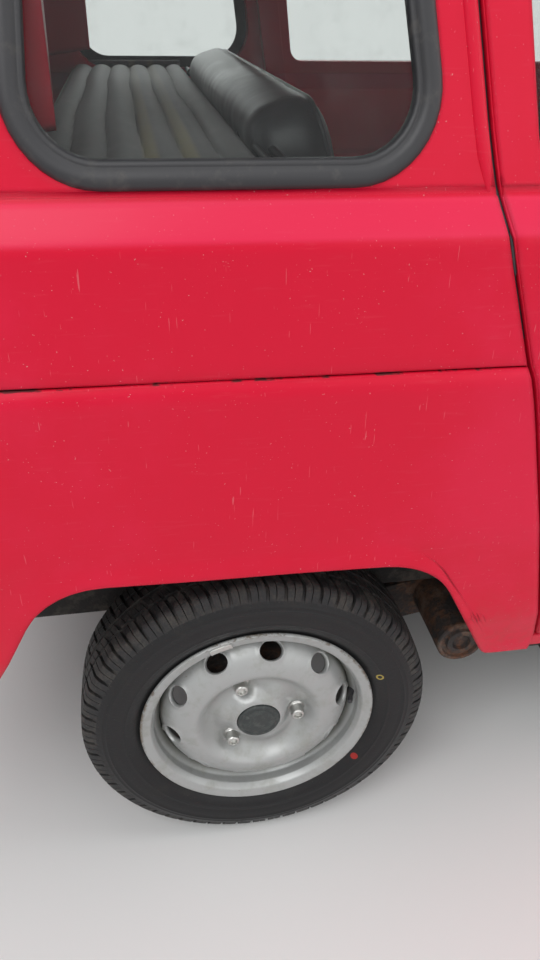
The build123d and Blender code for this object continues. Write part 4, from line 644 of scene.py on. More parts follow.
def roof_height(x, y):
    """Height of the roof: arcs of crown along the car, each turned about a lengthwise axis below the crown."""
    crown_x, crown_z = ROOF_CROWN
    reach = x - crown_x
    radii = [
        ((end_x - crown_x) ** 2 + (crown_z - end_z) ** 2) / (2 * (crown_z - end_z))
        for end_x, end_z in ROOF_ENDS
    ]
    radius = np.where(reach > 0, radii[0], radii[1])
    ridge = crown_z - radius + np.sqrt(radius**2 - reach**2)
    axis_z = crown_z - ROOF_CROSS_RADIUS
    return axis_z + np.sqrt((ridge - axis_z) ** 2 - y**2)


def below_roof(station, gap, side=-1):
    """Height at each station where the side meets the roof's underside, less a gap, found by repeated correction."""
    z = np.full_like(np.asarray(station, float), 1.42)
    for _ in range(6):
        points = shell(station, z, 0.0, side)
        z = roof_height(points[..., 0], points[..., 1]) - ROOF_THICKNESS - gap
    return z


def rounded_path(points, radii, spacing=0.02, closed=True):
    """Outline with round corners, as points and normals that face left of the way round.

    Each corner is an arc that touches both of its sides, of the given radius; straight runs are divided evenly.
    """
    points = np.asarray(points, float)
    count = len(points)
    radii = np.broadcast_to(radii, (count,))
    corners = []
    for index in range(count):
        point, radius = points[index], radii[index]
        before, after = points[index - 1] - point, points[(index + 1) % count] - point
        before, after = before / np.hypot(*before), after / np.hypot(*after)
        if radius == 0 or (not closed and index in (0, count - 1)):
            corners.append(point[None, :])
            continue
        half_angle = math.acos(float(np.clip(before @ after, -1, 1))) / 2
        middle = (before + after) / np.hypot(*(before + after))
        centre = point + middle * radius / math.sin(half_angle)
        ends = [point + way * radius / math.tan(half_angle) - centre for way in (before, after)]
        start, stop = (math.atan2(end[1], end[0]) for end in ends)
        sweep = (stop - start + math.pi) % (2 * math.pi) - math.pi
        steps = max(3, int(abs(sweep) / 0.16) + 1)
        angle = start + sweep * np.linspace(0, 1, steps)
        corners.append(centre + radius * np.stack([np.cos(angle), np.sin(angle)], axis=1))
    runs = []
    for index in range(count if closed else count - 1):
        runs.append(corners[index])
        start, stop = corners[index][-1], corners[(index + 1) % count][0]
        steps = max(1, int(np.hypot(*(stop - start)) / spacing))
        runs.append(start + (stop - start) * (np.arange(1, steps) / steps)[:, None])
    if not closed:
        runs.append(corners[-1])
    path = np.concatenate(runs)
    ahead, behind = np.roll(path, -1, axis=0), np.roll(path, 1, axis=0)
    if not closed:
        ahead[-1], behind[0] = path[-1], path[0]
    along = ahead - behind
    along /= np.hypot(along[:, 0], along[:, 1])[:, None]
    return path, np.stack([-along[:, 1], along[:, 0]], axis=1)


def resample(path, count, stretch=(1.0, 1.0)):
    """The same path at evenly spaced points; the stretch weighs its length along each axis."""
    steps = np.diff(path, axis=0) * np.asarray(stretch)
    length = np.concatenate([[0], np.cumsum(np.hypot(steps[:, 0], steps[:, 1]))])
    wanted = np.linspace(0, length[-1], count)
    return np.stack([np.interp(wanted, length, path[:, axis]) for axis in (0, 1)], axis=1)


def coons(bottom, top, left, right, rows, columns):
    """Patch between four edges: both straight blends of facing edges, less the blend of the four corners.

    Bottom and top are sampled at the columns, left and right at the rows; all are points in a plane.
    """
    v, u = rows[:, None, None], columns[None, :, None]
    between = (1 - v) * bottom[None] + v * top[None] + (1 - u) * left[:, None] + u * right[:, None]
    corners = (1 - v) * ((1 - u) * bottom[0] + u * bottom[-1]) + v * ((1 - u) * top[0] + u * top[-1])
    return between - corners


def hem_rows(inside, reach):
    """Rows across a panel of unit width, with its folded edges: places, and how far each is drawn in."""
    fold = np.array([0, 0, 0.25, 1]) * reach
    place = np.concatenate([fold, inside, 1 - fold[::-1]])
    drop = np.concatenate([[0.011, 0.0022, 0.0007, 0], np.zeros(len(inside)), [0, 0.0007, 0.0022, 0.011]])
    return place, drop


def grid_quads(rows, columns, wrap_rows, wrap_columns, first):
    """Quads of a grid of points, by index; a wrapped direction joins its last line to its first."""
    down = np.arange(rows if wrap_rows else rows - 1)
    across = np.arange(columns if wrap_columns else columns - 1)
    i, j = np.meshgrid(down, across, indexing="ij")
    next_i, next_j = (i + 1) % rows, (j + 1) % columns
    corners = (i * columns + j, i * columns + next_j, next_i * columns + next_j, next_i * columns + j)
    return np.stack(corners, axis=-1).reshape(-1, 4) + first


def grids_object(name, grids, materials, facing=None, sharp=40, weld=True, wall=0.0):
    """Object from grids of points: each entry is its points, which directions wrap, and its finish or one a row.

    With facing, an open sheet is turned so that its faces look along that direction from its middle on the whole;
    a closed form has its normals worked out instead.
    """
    points, quads, slots, first = [], [], [], 0
    for entry in grids:
        grid, wrap_rows, wrap_columns, finish = entry
        rows, columns = grid.shape[:2]
        quads.append(grid_quads(rows, columns, wrap_rows, wrap_columns, first))
        strips = rows if wrap_rows else rows - 1
        slots.append(np.repeat(np.broadcast_to(finish, (rows,))[:strips], len(quads[-1]) // strips))
        points.append(grid.reshape(-1, 3))
        first += rows * columns
    mesh = bpy.data.meshes.new(name)
    mesh.from_pydata(np.concatenate(points).tolist(), [], np.concatenate(quads).tolist())
    for material in materials:
        mesh.materials.append(material)
    mesh.polygons.foreach_set("material_index", np.concatenate(slots).astype(np.int32))
    return finish_mesh(name, mesh, facing, sharp, weld, wall)


def finish_mesh(name, mesh, facing=None, sharp=40, weld=True, wall=0.0):
    """Welds a mesh, turns its faces outwards, shades it smooth up to an angle and gives a sheet its wall."""
    work = bmesh.new()
    work.from_mesh(mesh)
    if weld:
        bmesh.ops.remove_doubles(work, verts=work.verts, dist=0.00001)
        bmesh.ops.dissolve_degenerate(work, edges=work.edges, dist=0.000001)
    bmesh.ops.recalc_face_normals(work, faces=work.faces)
    if facing is not None:
        total = sum((face.normal * face.calc_area() for face in work.faces), start=Vector((0, 0, 0)))
        if total.dot(Vector(facing)) < 0:
            bmesh.ops.reverse_faces(work, faces=work.faces)
    work.to_mesh(mesh)
    work.free()
    mesh.polygons.foreach_set("use_smooth", np.ones(len(mesh.polygons), bool))
    mesh.set_sharp_from_angle(angle=math.radians(sharp))
    piece = bpy.data.objects.new(name, mesh)
    bpy.context.scene.collection.objects.link(piece)
    if wall:
        solid = piece.modifiers.new("wall", "SOLIDIFY")
        solid.thickness = wall
        solid.offset = -1
    return piece


def revolved(profile, steps, angle_from=0.0):
    """Grid of a profile of radius and depth turned about an axis: radius * (cos a, sin a), depth."""
    profile = np.asarray(profile, float)
    angle = angle_from + 2 * math.pi * np.arange(steps) / steps
    radius, depth = profile[:, 0][:, None], profile[:, 1][:, None]
    return np.stack([radius * np.cos(angle), radius * np.sin(angle), depth + 0 * angle], axis=-1)


def tube(path, radius, steps=12, closed=False):
    """Grid of a round bar along a path: each ring lies square to the path, turned as little as possible."""
    path = np.asarray(path, float)
    ahead = np.roll(path, -1, axis=0) if closed else np.vstack([path[1:], path[-1:] * 2 - path[-2:-1]])
    behind = np.roll(path, 1, axis=0) if closed else np.vstack([path[:1] * 2 - path[1:2], path[:-1]])
    along = ahead - behind
    along /= np.linalg.norm(along, axis=1)[:, None]
    up = np.array([0.0, 0.0, 1.0]) if abs(along[:, 2]).max() < 0.9 else np.array([1.0, 0.0, 0.0])
    across = np.cross(along, up)
    across /= np.linalg.norm(across, axis=1)[:, None]
    over = np.cross(across, along)
    angle = 2 * math.pi * np.arange(steps) / steps
    ring = np.cos(angle)[None, :, None] * across[:, None] + np.sin(angle)[None, :, None] * over[:, None]
    return path[:, None] + np.broadcast_to(radius, (len(path),))[:, None, None] * ring


def place(piece, body, *nodes, slot=None):
    """Puts a piece on its body; it may replace nodes. The slot is not used."""
    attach(piece, body)
    if nodes:
        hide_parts(*nodes)
    return piece


# Outlines in side view, in metres: station and height
DOOR_EDGE = np.array([(-1.044, 1.560), (-1.030, 1.480), (-0.955, 1.050), (-0.880, 0.830), (-0.770, 0.405)])
DOOR_EDGE_RADII = (0, 3.6, 0.9, 0.9, 0)
DOOR_BOTTOM = 0.405
REAR_DOOR_FRONT = -0.080
BODY_BOTTOM = 0.3690
QUARTER_WINDOW = [(-1.008, 1.063), (-1.451, 1.063), (-1.427, 1.375), (-1.061, 1.380)]
REAR_WINDOW = [(-0.125, 1.080), (-0.912, 1.080), (-0.963, 1.385), (-0.125, 1.410)]
SCREEN_OPENING = [(-0.622, 1.075), (0.622, 1.075), (0.552, 1.368), (-0.552, 1.368)]
TAIL_WINDOW = [(-0.480, 1.085), (0.480, 1.085), (0.440, 1.345), (-0.440, 1.345)]
RUBBER_CORNER = 0.085
TAIL_EDGE_Y = 0.5525
ARCH = [(0.349, 0.366), (0.224, 0.596), (-0.275, 0.601), (-0.393, 0.366)]
ARCH_RADII = (0.035, 0.115, 0.115, 0.035)
AXLES = {"front": {-1: 1.246, 1: 1.246}, "rear": {-1: -1.197, 1: -1.149}}
WHEEL_Y = {"front": 0.640, "rear": 0.622}
TYRE_RADIUS = 0.270

door_edge_path = rounded_path(DOOR_EDGE, DOOR_EDGE_RADII, 0.03, closed=False)[0]


def door_edge(z, gap=0.0):
    """Station of the rear door's swept rear edge at each height, further back by a gap."""
    order = np.argsort(door_edge_path[:, 1])
    return np.interp(z, door_edge_path[order, 1], door_edge_path[order, 0]) - gap


def ripple(station, z):
    """Slight unevenness of hand-finished panels: a sum of two long waves."""
    return 0.0006 * np.sin(9.0 * station + 4.0 * z) + 0.0004 * np.sin(23.0 * station - 11.0 * z)


def panel_sheet(stations, heights, out, side):
    """Grid of a panel's points on the shell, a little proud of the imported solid."""
    return shell(stations, heights, PROUD + out + ripple(stations, heights), side)


def rear_wing_sheet(side):
    """Rear wing: a patch between the arch, the seam, the door gap and the tail, with its lip turned in.

    Its lower edge is the body's bottom and the arch. Near that edge the sheet flares out by
    lip * (1 - smoothstep(distance)), and its last rows run inwards as the lip's flange.
    """
    axle = AXLES["rear"][side]
    foot = -0.770 - DOOR_GAP - 0.001
    arch = [(axle + x, z) for x, z in ARCH]
    tail_foot = float(tail_station(np.array([BODY_BOTTOM]), TAIL_EDGE_Y)[0])
    outline = [(foot, ARCH[0][1]), *arch, (tail_foot, ARCH[0][1])]
    path, below = rounded_path(outline, (0, *ARCH_RADII, 0), 0.01, closed=False)
    path = path + below * 0.0012
    path[:, 1] = np.maximum(path[:, 1], BODY_BOTTOM)
    inner = np.linspace(0, 1, 120)[1:-1]
    columns, drop_columns = hem_rows(inner, 0.0035)
    top_z = SEAM - 0.0012
    rows = np.concatenate([[0, 0, 0, 0], [0.004, 0.012, 0.022, 0.035], np.linspace(0.055, 0.93, 26)])
    rows = np.concatenate([rows, [0.94, 0.95, 0.96, 0.97, 0.98, 0.988, 0.994, 0.998, 1, 1]])
    flange = np.array([0.040, 0.030, 0.006, 0.0015] + [0.0] * (len(rows) - 4))
    roll = np.array([0.0] * (len(rows) - 3) + [0.0008, 0.0026, 0.012])
    even = resample(path, 400, (1.0, 0.45))
    bottom = np.stack([np.interp(columns, np.linspace(0, 1, 400), even[:, axis]) for axis in (0, 1)], axis=1)
    left_z = DOOR_BOTTOM - DOOR_GAP
    heights = BODY_BOTTOM + (top_z - BODY_BOTTOM) * rows
    left = np.stack([np.where(heights < left_z, foot, door_edge(heights, DOOR_GAP + 0.001)), heights], axis=1)
    left[:, 0] = np.minimum(left[:, 0], foot)
    right = np.stack([tail_station(heights, TAIL_EDGE_Y), heights], axis=1)
    top_x = left[-1, 0] + (right[-1, 0] - left[-1, 0]) * columns
    top = np.stack([top_x, np.full(len(columns), top_z)], axis=1)
    patch = coons(bottom, top, left, right, rows, columns)
    steps = np.diff(patch, axis=0)
    lengths = np.cumsum(np.hypot(steps[..., 0], steps[..., 1]), axis=0)
    distance = np.concatenate([np.zeros((1, len(columns))), lengths])
    near = np.clip(distance / 0.050, 0, 1)
    lip = 0.0065 * (1 - near * near * (3 - 2 * near))
    out = lip - flange[:, None] - np.maximum(roll[:, None], drop_columns[None, :])
    return panel_sheet(patch[..., 0], patch[..., 1], out, side)


def quarter_lower_sheet(side):
    """Rear quarter from the seam to the ledge under the window: straight rows between door gap and tail."""
    heights = [0.8705, 0.8705, 0.8712, 0.8730, 0.885, 0.905, 0.930, 0.955, 0.975, 0.988, 0.996, 1.002, 1.007]
    heights += BEVEL_HEIGHTS
    z = np.array(heights)[:, None]
    roll = np.array([0.011, 0.0026, 0.0008] + [0.0] * (len(heights) - 3))
    columns, drop_columns = hem_rows(np.linspace(0, 1, 90)[1:-1], 0.0035)
    front, rear = door_edge(z, DOOR_GAP + 0.001), tail_station(z, TAIL_EDGE_Y)
    stations = front + (rear - front) * columns[None, :]
    out = -np.maximum(roll[:, None], drop_columns[None, :])
    return panel_sheet(stations, z + 0 * stations, out, side)


def matched_rings(window, corner, sides):
    """Window outline and panel outline with as many points on each of their four facing sides.

    The window's path is cut at the middle of each corner's arc; sides are functions of a share from 0 to 1.
    """
    path, _ = rounded_path(window, corner, 0.01)
    middle = np.asarray(window, float)
    cuts = [int(np.argmin(np.hypot(*(path - point).T))) for point in middle]
    hole, outline = [], []
    count = len(path)
    for index, start in enumerate(cuts):
        stop = cuts[(index + 1) % 4]
        picked = path[np.arange(start, stop if stop > start else stop + count) % count]
        hole.append(picked)
        outline.append(sides[index](np.arange(len(picked)) / len(picked)))
    return np.concatenate(hole), np.concatenate(outline)


def quarter_upper_sheet(side):
    """Rear quarter round its window, from the ledge to the roof."""
    low = 1.061
    corner_rear = float(tail_station(np.array([low]), TAIL_EDGE_Y)[0])
    gap = DOOR_GAP + 0.001

    def along_bottom(share):
        front = float(door_edge(low, gap))
        return np.stack([front + (corner_rear - front) * share, np.full_like(share, low)], axis=1)

    def head(station):
        return below_roof(station, 0.001, side)

    rear_top = corner_rear
    for _ in range(8):
        top = float(head(np.array([rear_top]))[0])
        rear_top = float(tail_station(np.array([top]), TAIL_EDGE_Y)[0])
    front_top = -1.02
    for _ in range(8):
        top_front = float(head(np.array([front_top]))[0])
        front_top = float(door_edge(top_front, gap))

    def up_rear(share):
        z = low + (top - low) * share
        return np.stack([tail_station(z, TAIL_EDGE_Y), z], axis=1)

    def along_top(share):
        station = rear_top + (front_top - rear_top) * share
        return np.stack([station, head(station)], axis=1)

    def down_front(share):
        z = top_front + (low - top_front) * share
        return np.stack([door_edge(z, gap), z], axis=1)

    sides = (along_bottom, up_rear, along_top, down_front)
    hole, outline = matched_rings(QUARTER_WINDOW, RUBBER_CORNER, sides)
    lines = np.concatenate([[0, 0, 0.02], np.linspace(0.05, 0.93, 12), [0.965, 0.99, 1, 1]])
    drops = np.array([0.012, 0.001, 0] + [0] * 12 + [0, 0.0007, 0.0026, 0.011])
    stations = hole[None, :, 0] + (outline[None, :, 0] - hole[None, :, 0]) * lines[:, None]
    heights = hole[None, :, 1] + (outline[None, :, 1] - hole[None, :, 1]) * lines[:, None]
    at_ledge = outline[:, 1] < low + 1e-6
    drop = np.where(at_ledge[None, :] & (lines[:, None] > 0.5), 0, drops[:, None])
    return panel_sheet(stations, heights, -drop, side)


def rear_door_lower_sheet(side):
    """Rear door from its bottom to the ledge under its window."""
    heights = [0.4055, 0.4055, 0.4062, 0.409, 0.43, 0.47, 0.52, 0.58]
    heights += [0.64, 0.70, 0.76, 0.81, 0.835, 0.845, 0.850]
    heights += [0.855, 0.860, 0.865, 0.870, 0.876, 0.89, 0.92, 0.955, 0.975, 0.988, 0.996, 1.002, 1.007]
    heights += BEVEL_HEIGHTS
    z = np.array(heights)[:, None]
    roll = np.array([0.011, 0.0026, 0.0008] + [0.0] * (len(heights) - 3))
    columns, drop_columns = hem_rows(np.linspace(0, 1, 60)[1:-1], 0.0035)
    front, rear = np.full_like(z, REAR_DOOR_FRONT - 0.001), door_edge(z, -0.001)
    stations = front + (rear - front) * columns[None, :]
    out = -np.maximum(roll[:, None], drop_columns[None, :])
    return panel_sheet(stations, z + 0 * stations, out, side)


def rear_door_upper_sheet(side):
    """Rear door's window frame, from the ledge to the roof gap."""
    low, gap = 1.061, 0.0155

    def head(station):
        return below_roof(station, gap, side)

    rear_top = -1.02
    for _ in range(8):
        top_rear = float(head(np.array([rear_top]))[0])
        rear_top = float(door_edge(top_rear, -0.001))
    front_top, top_front = REAR_DOOR_FRONT - 0.001, float(head(np.array([REAR_DOOR_FRONT]))[0])

    def along_bottom(share):
        rear = float(door_edge(low, -0.001))
        return np.stack([front_top + (rear - front_top) * share, np.full_like(share, low)], axis=1)

    def up_rear(share):
        z = low + (top_rear - low) * share
        return np.stack([door_edge(z, -0.001), z], axis=1)

    def along_top(share):
        station = rear_top + (front_top - rear_top) * share
        return np.stack([station, head(station)], axis=1)

    def down_front(share):
        z = top_front + (low - top_front) * share
        return np.stack([np.full_like(z, front_top), z], axis=1)

    hole, outline = matched_rings(REAR_WINDOW, 0.032, (along_bottom, up_rear, along_top, down_front))
    lines = np.concatenate([[0, 0, 0.03], np.linspace(0.08, 0.90, 6), [0.94, 0.98, 1, 1]])
    drops = np.array([0.012, 0.0015, 0] + [0] * 6 + [0, 0.0007, 0.0026, 0.011])
    stations = hole[None, :, 0] + (outline[None, :, 0] - hole[None, :, 0]) * lines[:, None]
    heights = hole[None, :, 1] + (outline[None, :, 1] - hole[None, :, 1]) * lines[:, None]
    at_ledge = outline[:, 1] < low + 1e-6
    drop = np.where(at_ledge[None, :] & (lines[:, None] > 0.5), 0, drops[:, None])
    return panel_sheet(stations, heights, -drop, side)


def inward_path(outline, corner, spacing=0.02):
    """Closed outline with round corners, and its normals turned to face into it by the sign of its area."""
    path, normal = rounded_path(outline, corner, spacing)
    ahead = np.roll(path, -1, axis=0)
    area = np.sum(path[:, 0] * ahead[:, 1] - ahead[:, 0] * path[:, 1])
    return path, normal * np.sign(area)


def bead(path, inward, profile, side):
    """Bar of a given section along a closed line on the shell: profile rows are the distance in and the height."""
    profile = np.asarray(profile, float)
    stations = path[None, :, 0] + inward[None, :, 0] * profile[:, 0][:, None]
    heights = path[None, :, 1] + inward[None, :, 1] * profile[:, 0][:, None]
    return shell(stations, heights, profile[:, 1][:, None] + 0 * stations, side)


def end_view_bead(outline, corner, profile, surface):
    """Bar of a given section round an opening seen from the end, on a surface that gives x for y and z."""
    path, normal = inward_path(outline, corner)
    profile = np.asarray(profile, float)
    y = path[None, :, 0] + normal[None, :, 0] * profile[:, 0][:, None]
    z = path[None, :, 1] + normal[None, :, 1] * profile[:, 0][:, None]
    return surface(y, z, profile[:, 1][:, None] + 0 * y)


def tail_surface(y, z, out):
    """Point on the greenhouse's tail at a width and height: the tail circle, or its corner, pushed out level."""
    plan = plan_at(z)
    tail_x, tail_radius = plan["tail"]
    x = tail_x - np.sqrt(tail_radius**2 - y**2) - out
    return np.stack([x, y, z], axis=-1)


def screen_surface(y, z, out):
    """Point on the windscreen's circle at a width and height, pushed forwards."""
    share = (z - WAIST) / (1.560 - WAIST)
    nose, half = 0.880 + (0.509 - 0.880) * share, 0.706 + (0.586 - 0.706) * share
    edge = half - SIDE_BOW
    radius = (SCREEN_BOW**2 + edge**2) / (2 * SCREEN_BOW)
    x = nose - radius + np.sqrt(radius**2 - y**2) + out
    return np.stack([x, y, z], axis=-1)


RUBBER_SECTION = [
    (-0.0015, -0.004),
    (-0.0020, 0.0020),
    (0.0005, 0.0052),
    (0.0040, 0.0072),
    (0.0090, 0.0080),
    (0.0130, 0.0074),
    (0.0160, 0.0058),
    (0.0180, 0.0034),
    (0.0190, 0.0024),
    (0.0202, 0.0028),
    (0.0226, 0.0024),
    (0.0242, 0.0004),
    (0.0248, -0.0040),
    (0.0246, -0.0110),
]


def make_lamp_glass():
    """Headlamp: ribbed clear glass over a bright bowl."""
    shader = Shader("lamp_glass")
    _, y, z = shader.axes()
    ribs = shader.node("ShaderNodeMath", {"operation": "SINE"}, {0: y * 620.0})
    haze = shader.step(shader.noise(30.0, 4.0, 0.6), 0.45, 0.75)
    colour = shader.mix(haze * 0.4, (0.62, 0.64, 0.66, 1), (0.42, 0.43, 0.42, 1))
    return shader.finish(
        Base_Color=colour,
        Metallic=0.75,
        Roughness=0.10 + haze * 0.12,
        Normal=shader.bump(ribs, 0.0012, 0.6, shader.rounded(0.004)),
        Coat_Weight=0.9,
        Coat_Roughness=0.03,
    )


def make_tail_lens():
    """Tail lamp: amber above, red in the middle and a paler reflector below, with fine ribs moulded in."""
    shader = Shader("tail_lens")
    _, y, z = shader.axes()
    ribs = shader.node("ShaderNodeMath", {"operation": "SINE"}, {0: z * 900.0})
    amber = shader.step(z, 0.7545, 0.7555)
    clear = 1 - shader.step(z, 0.6725, 0.6735)
    colour = shader.mix(amber, (0.42, 0.006, 0.010, 1), (0.72, 0.20, 0.010, 1))
    colour = shader.mix(clear, colour, (0.62, 0.60, 0.58, 1))
    rim = shader.step(abs(y), 0.664, 0.6655) + (1 - shader.step(abs(y), 0.5745, 0.576))
    colour = shader.mix(rim, colour, (0.05, 0.05, 0.05, 1))
    return shader.finish(
        Base_Color=colour,
        Roughness=0.18 + rim * 0.3,
        Normal=shader.bump(ribs, 0.0010, 0.5, shader.rounded(0.003)),
        Coat_Weight=0.6,
        Coat_Roughness=0.06,
    )


def make_shelf_cover():
    """Grey ribbed cloth of the parcel shelf, with painted yellow sunlight in two broad bands."""
    shader = Shader("shelf_cloth")
    x, y, _ = shader.axes()
    weave = shader.node("ShaderNodeMath", {"operation": "SINE"}, {0: x * 2600.0})
    weft = shader.node("ShaderNodeMath", {"operation": "SINE"}, {0: y * 2600.0})
    cloud = shader.noise(3.0, 3.0, 0.6)
    # Painted sunlight: two yellow bands across the pleats, stronger toward the right side.
    near = 1 - shader.step(y, -0.25, 0.10)
    first = 1 - shader.step(abs(x + 1.262), 0.003, 0.012)
    second = 1 - shader.step(abs(x + 1.306), 0.003, 0.012)
    painted_sunlight_bands = (first + second) * (0.35 + near * 0.65)
    colour = shader.mix(cloud * 0.5, (0.115, 0.115, 0.118, 1), (0.17, 0.168, 0.165, 1))
    colour = shader.mix(painted_sunlight_bands * 0.75, colour, (0.36, 0.315, 0.14, 1))
    dust = shader.step(shader.noise(30.0, 5.0, 0.65), 0.45, 0.72)
    colour = shader.mix(dust * 0.3, colour, (0.26, 0.25, 0.23, 1))
    return shader.finish(
        Base_Color=colour,
        Roughness=0.62,
        Normal=shader.bump(weave * weft, 0.0003, 0.5),
        Sheen_Weight=0.2,
    )


def make_grey_iron():
    """Greenish grey cast bracket, oily and dusty."""
    shader = Shader("grey_iron")
    film = shader.step(shader.noise(40.0, 6.0, 0.7), 0.42, 0.66)
    colour = shader.mix(film * 0.7, (0.12, 0.13, 0.115, 1), (0.24, 0.225, 0.19, 1))
    return shader.finish(
        Base_Color=colour,
        Metallic=0.3,
        Roughness=0.6,
        Normal=shader.bump(film, 0.0020, 0.6, shader.rounded(0.0025)),
    )


def make_blank_plate():
    """Blank number plate: pale enamel, a little chalky."""
    shader = Shader("blank_plate")
    chalk = shader.step(shader.noise(14.0, 5.0, 0.65), 0.42, 0.70)
    colour = shader.mix(chalk * 0.35, (0.66, 0.66, 0.62, 1), (0.52, 0.51, 0.46, 1))
    return shader.finish(
        Base_Color=colour, Roughness=0.4 + chalk * 0.2, Normal=shader.bump(chalk, 0.0003, 0.3)
    )


def make_floor():
    """Pale studio floor: it shows its own colour to the camera and in reflections, and keeps the car's shadow."""
    settings = bpy.context.scene.hatchback_stage
    shader = Shader("studio_floor")
    grain = shader.noise(3.0, 2.0, 0.5)
    colour = shader.mix(grain * 0.06, tuple(settings.floor), (0.80, 0.80, 0.79, 1))
    diffuse = shader.node("ShaderNodeBsdfDiffuse", inputs={"Color": colour})
    backdrop = shader.node("ShaderNodeEmission", inputs={"Color": (0.9, 0.9, 0.9, 1), "Strength": 1.0})
    path = shader.node("ShaderNodeLightPath", output="Is Camera Ray")
    glossy = Value(shader, path.socket.node.outputs["Is Glossy Ray"])
    seen = path.math("MAXIMUM", path, glossy)
    far = shader.step(shader.distance_to((0.0, 0.0, 0.0)), 2.6, 6.5)
    surface = shader.node("ShaderNodeMixShader", inputs={0: seen * far})
    node = surface.socket.node
    shader.tree.links.new(diffuse.socket, node.inputs[1])
    shader.tree.links.new(backdrop.socket, node.inputs[2])
    shader.node("ShaderNodeOutputMaterial", inputs={"Surface": surface})
    return shader.material


MAKERS = {
    "paint": make_paint,
    "rubber": make_rubber,
    "tyre": make_tyre_rubber,
    "tread": make_tread_rubber,
    "cap": make_cap_plastic,
    "steel": make_bright_steel,
    "bumper": make_bumper_enamel,
    "rusty": make_rusty_iron,
    "underbody": make_underbody,
    "plastic": make_moulded_plastic,
    "vinyl": make_vinyl,
    "lining": make_headlining,
    "glass": make_glass,
    "lamp": make_lamp_glass,
    "tail_lens": make_tail_lens,
    "shelf": make_shelf_cover,
    "grey_iron": make_grey_iron,
    "plate": make_blank_plate,
}
made = {}


def finish_of(kind):
    """The material of one kind, made when it is first asked for."""
    if kind not in made:
        made[kind] = MAKERS[kind]()
    return made[kind]


NODE_FINISHES = {
    "paint": (
        "roof side_frame_right side_frame_left windscreen_frame rear_wings front_wings front_panel tail_panel"
        " door_front_right door_front_left door_rear_right door_rear_left tailgate bonnet"
    ),
    "glass": (
        "windscreen quarter_glasses tailgate_glass door_glass_front_right door_glass_front_left"
        " door_glass_rear_right door_glass_rear_left"
    ),
    "rubber": "window_seals tailgate_seal",
    "bumper": "bumper_front bumper_rear",
    "lamp": "headlamps",
    "tail_lens": "tail_lamps",
    "rusty": "front_arms rear_arms knuckle_right knuckle_left exhaust rack_housing steering_rack",
    "underbody": "platform fuel_tank",
    "grey_iron": "engine dampers",
    "plastic": "dashboard steering_column steering_wheel grille seat_frames rear_seat_frame",
    "vinyl": "front_seats rear_seat",
    "shelf": "parcel_shelf",
    "steel": "wheel_front_right wheel_front_left wheel_rear_right wheel_rear_left",
    "tyre": "tyre_front_right tyre_front_left tyre_rear_right tyre_rear_left",
}


class HATCHBACK_OT_finish_frame(Operator):
    """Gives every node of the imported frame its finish"""

    bl_idname = "hatchback.finish_frame"
    bl_label = "Finish Frame"

    def execute(self, context):
        left = set(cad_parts)
        for kind, names in NODE_FINISHES.items():
            for name in names.split():
                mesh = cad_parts[name].data
                mesh.materials.clear()
                mesh.materials.append(finish_of(kind))
                left.discard(name)
        if left:
            raise RuntimeError(f"nodes without a finish: {sorted(left)}")
        return {"FINISHED"}


def wheel_frame(corner):
    """Centre of a wheel and the side that it is on."""
    axle, side = corner.split("_")
    sign = SIDES[side]
    return (AXLES[axle][sign], sign * WHEEL_Y[axle], TYRE_RADIUS), sign


def onto_axle(grid, corner):
    """Carries a grid from its own axis, with its depth outwards, to a wheel's axle: half a turn about x at most."""
    (x, y, z), side = wheel_frame(corner)
    return np.stack([x + grid[..., 0], y + side * grid[..., 2], z - side * grid[..., 1]], axis=-1)


# Tyre section in millimetres from the bead to the middle: distance from the middle, radius, and how deep
# the grooves across and round the tyre are there, as shares of the full depth
TYRE_ROWS = np.array(
    [
        (54.5, 164.6, 0, 0),
        (57.6, 167.0, 0, 0),
        (58.4, 172.0, 0, 0),
        (58.1, 178.0, 0, 0),
        (58.7, 183.0, 0, 0),
        (60.4, 186.0, 0, 0),
        (63.1, 189.4, 0, 0),
        (66.3, 194.4, 0, 0),
        (68.9, 200.0, 0, 0),
        (69.9, 203.6, 0, 0),
        (70.7, 204.4, 0, 0),
        (71.0, 206.0, 0, 0),
        (70.7, 207.2, 0, 0),
        (71.2, 210.0, 0, 0),
        (71.8, 216.0, 0, 0),
        (72.0, 223.0, 0, 0),
        (71.7, 229.6, 0, 0),
        (72.0, 230.4, 0, 0),
        (71.9, 231.8, 0, 0),
        (71.3, 232.6, 0, 0),
        (70.6, 236.6, 0, 0),
        (70.7, 237.4, 0, 0),
        (70.4, 238.8, 0, 0),
        (69.9, 239.6, 0, 0),
        (68.7, 243.4, 0, 0),
        (67.3, 247.0, 0.08, 0),
        (65.9, 250.5, 0.35, 0),
        (64.3, 254.4, 0.65, 0),
        (62.3, 258.6, 0.85, 0),
        (59.4, 262.8, 1, 0),
        (55.6, 266.1, 1, 0),
        (51.0, 268.0, 1, 0),
        (46.0, 268.5, 1, 0),
        (39.0, 268.9, 1, 0),
        (32.0, 269.3, 1, 0),
        (28.2, 269.4, 1, 0),
        (27.6, 269.4, 1, 1),
        (23.6, 269.5, 1, 1),
        (23.0, 269.6, 0.55, 0),
        (17.0, 269.7, 0.55, 0),
        (11.0, 269.8, 0.55, 0),
        (4.6, 269.9, 0, 0),
        (3.0, 269.9, 0, 0),
        (2.4, 269.9, 0, 1),
    ]
)
PITCH_PLACES = np.array([0, 0.012, 0.20, 0.212, 0.40, 0.595, 0.605, 0.635, 0.645, 0.82])
GROOVE_SHARES = np.array([0, 1, 1, 0, 0, 0, 0.6, 0.6, 0, 0])
SHOULDER_RADIUS = 245.0


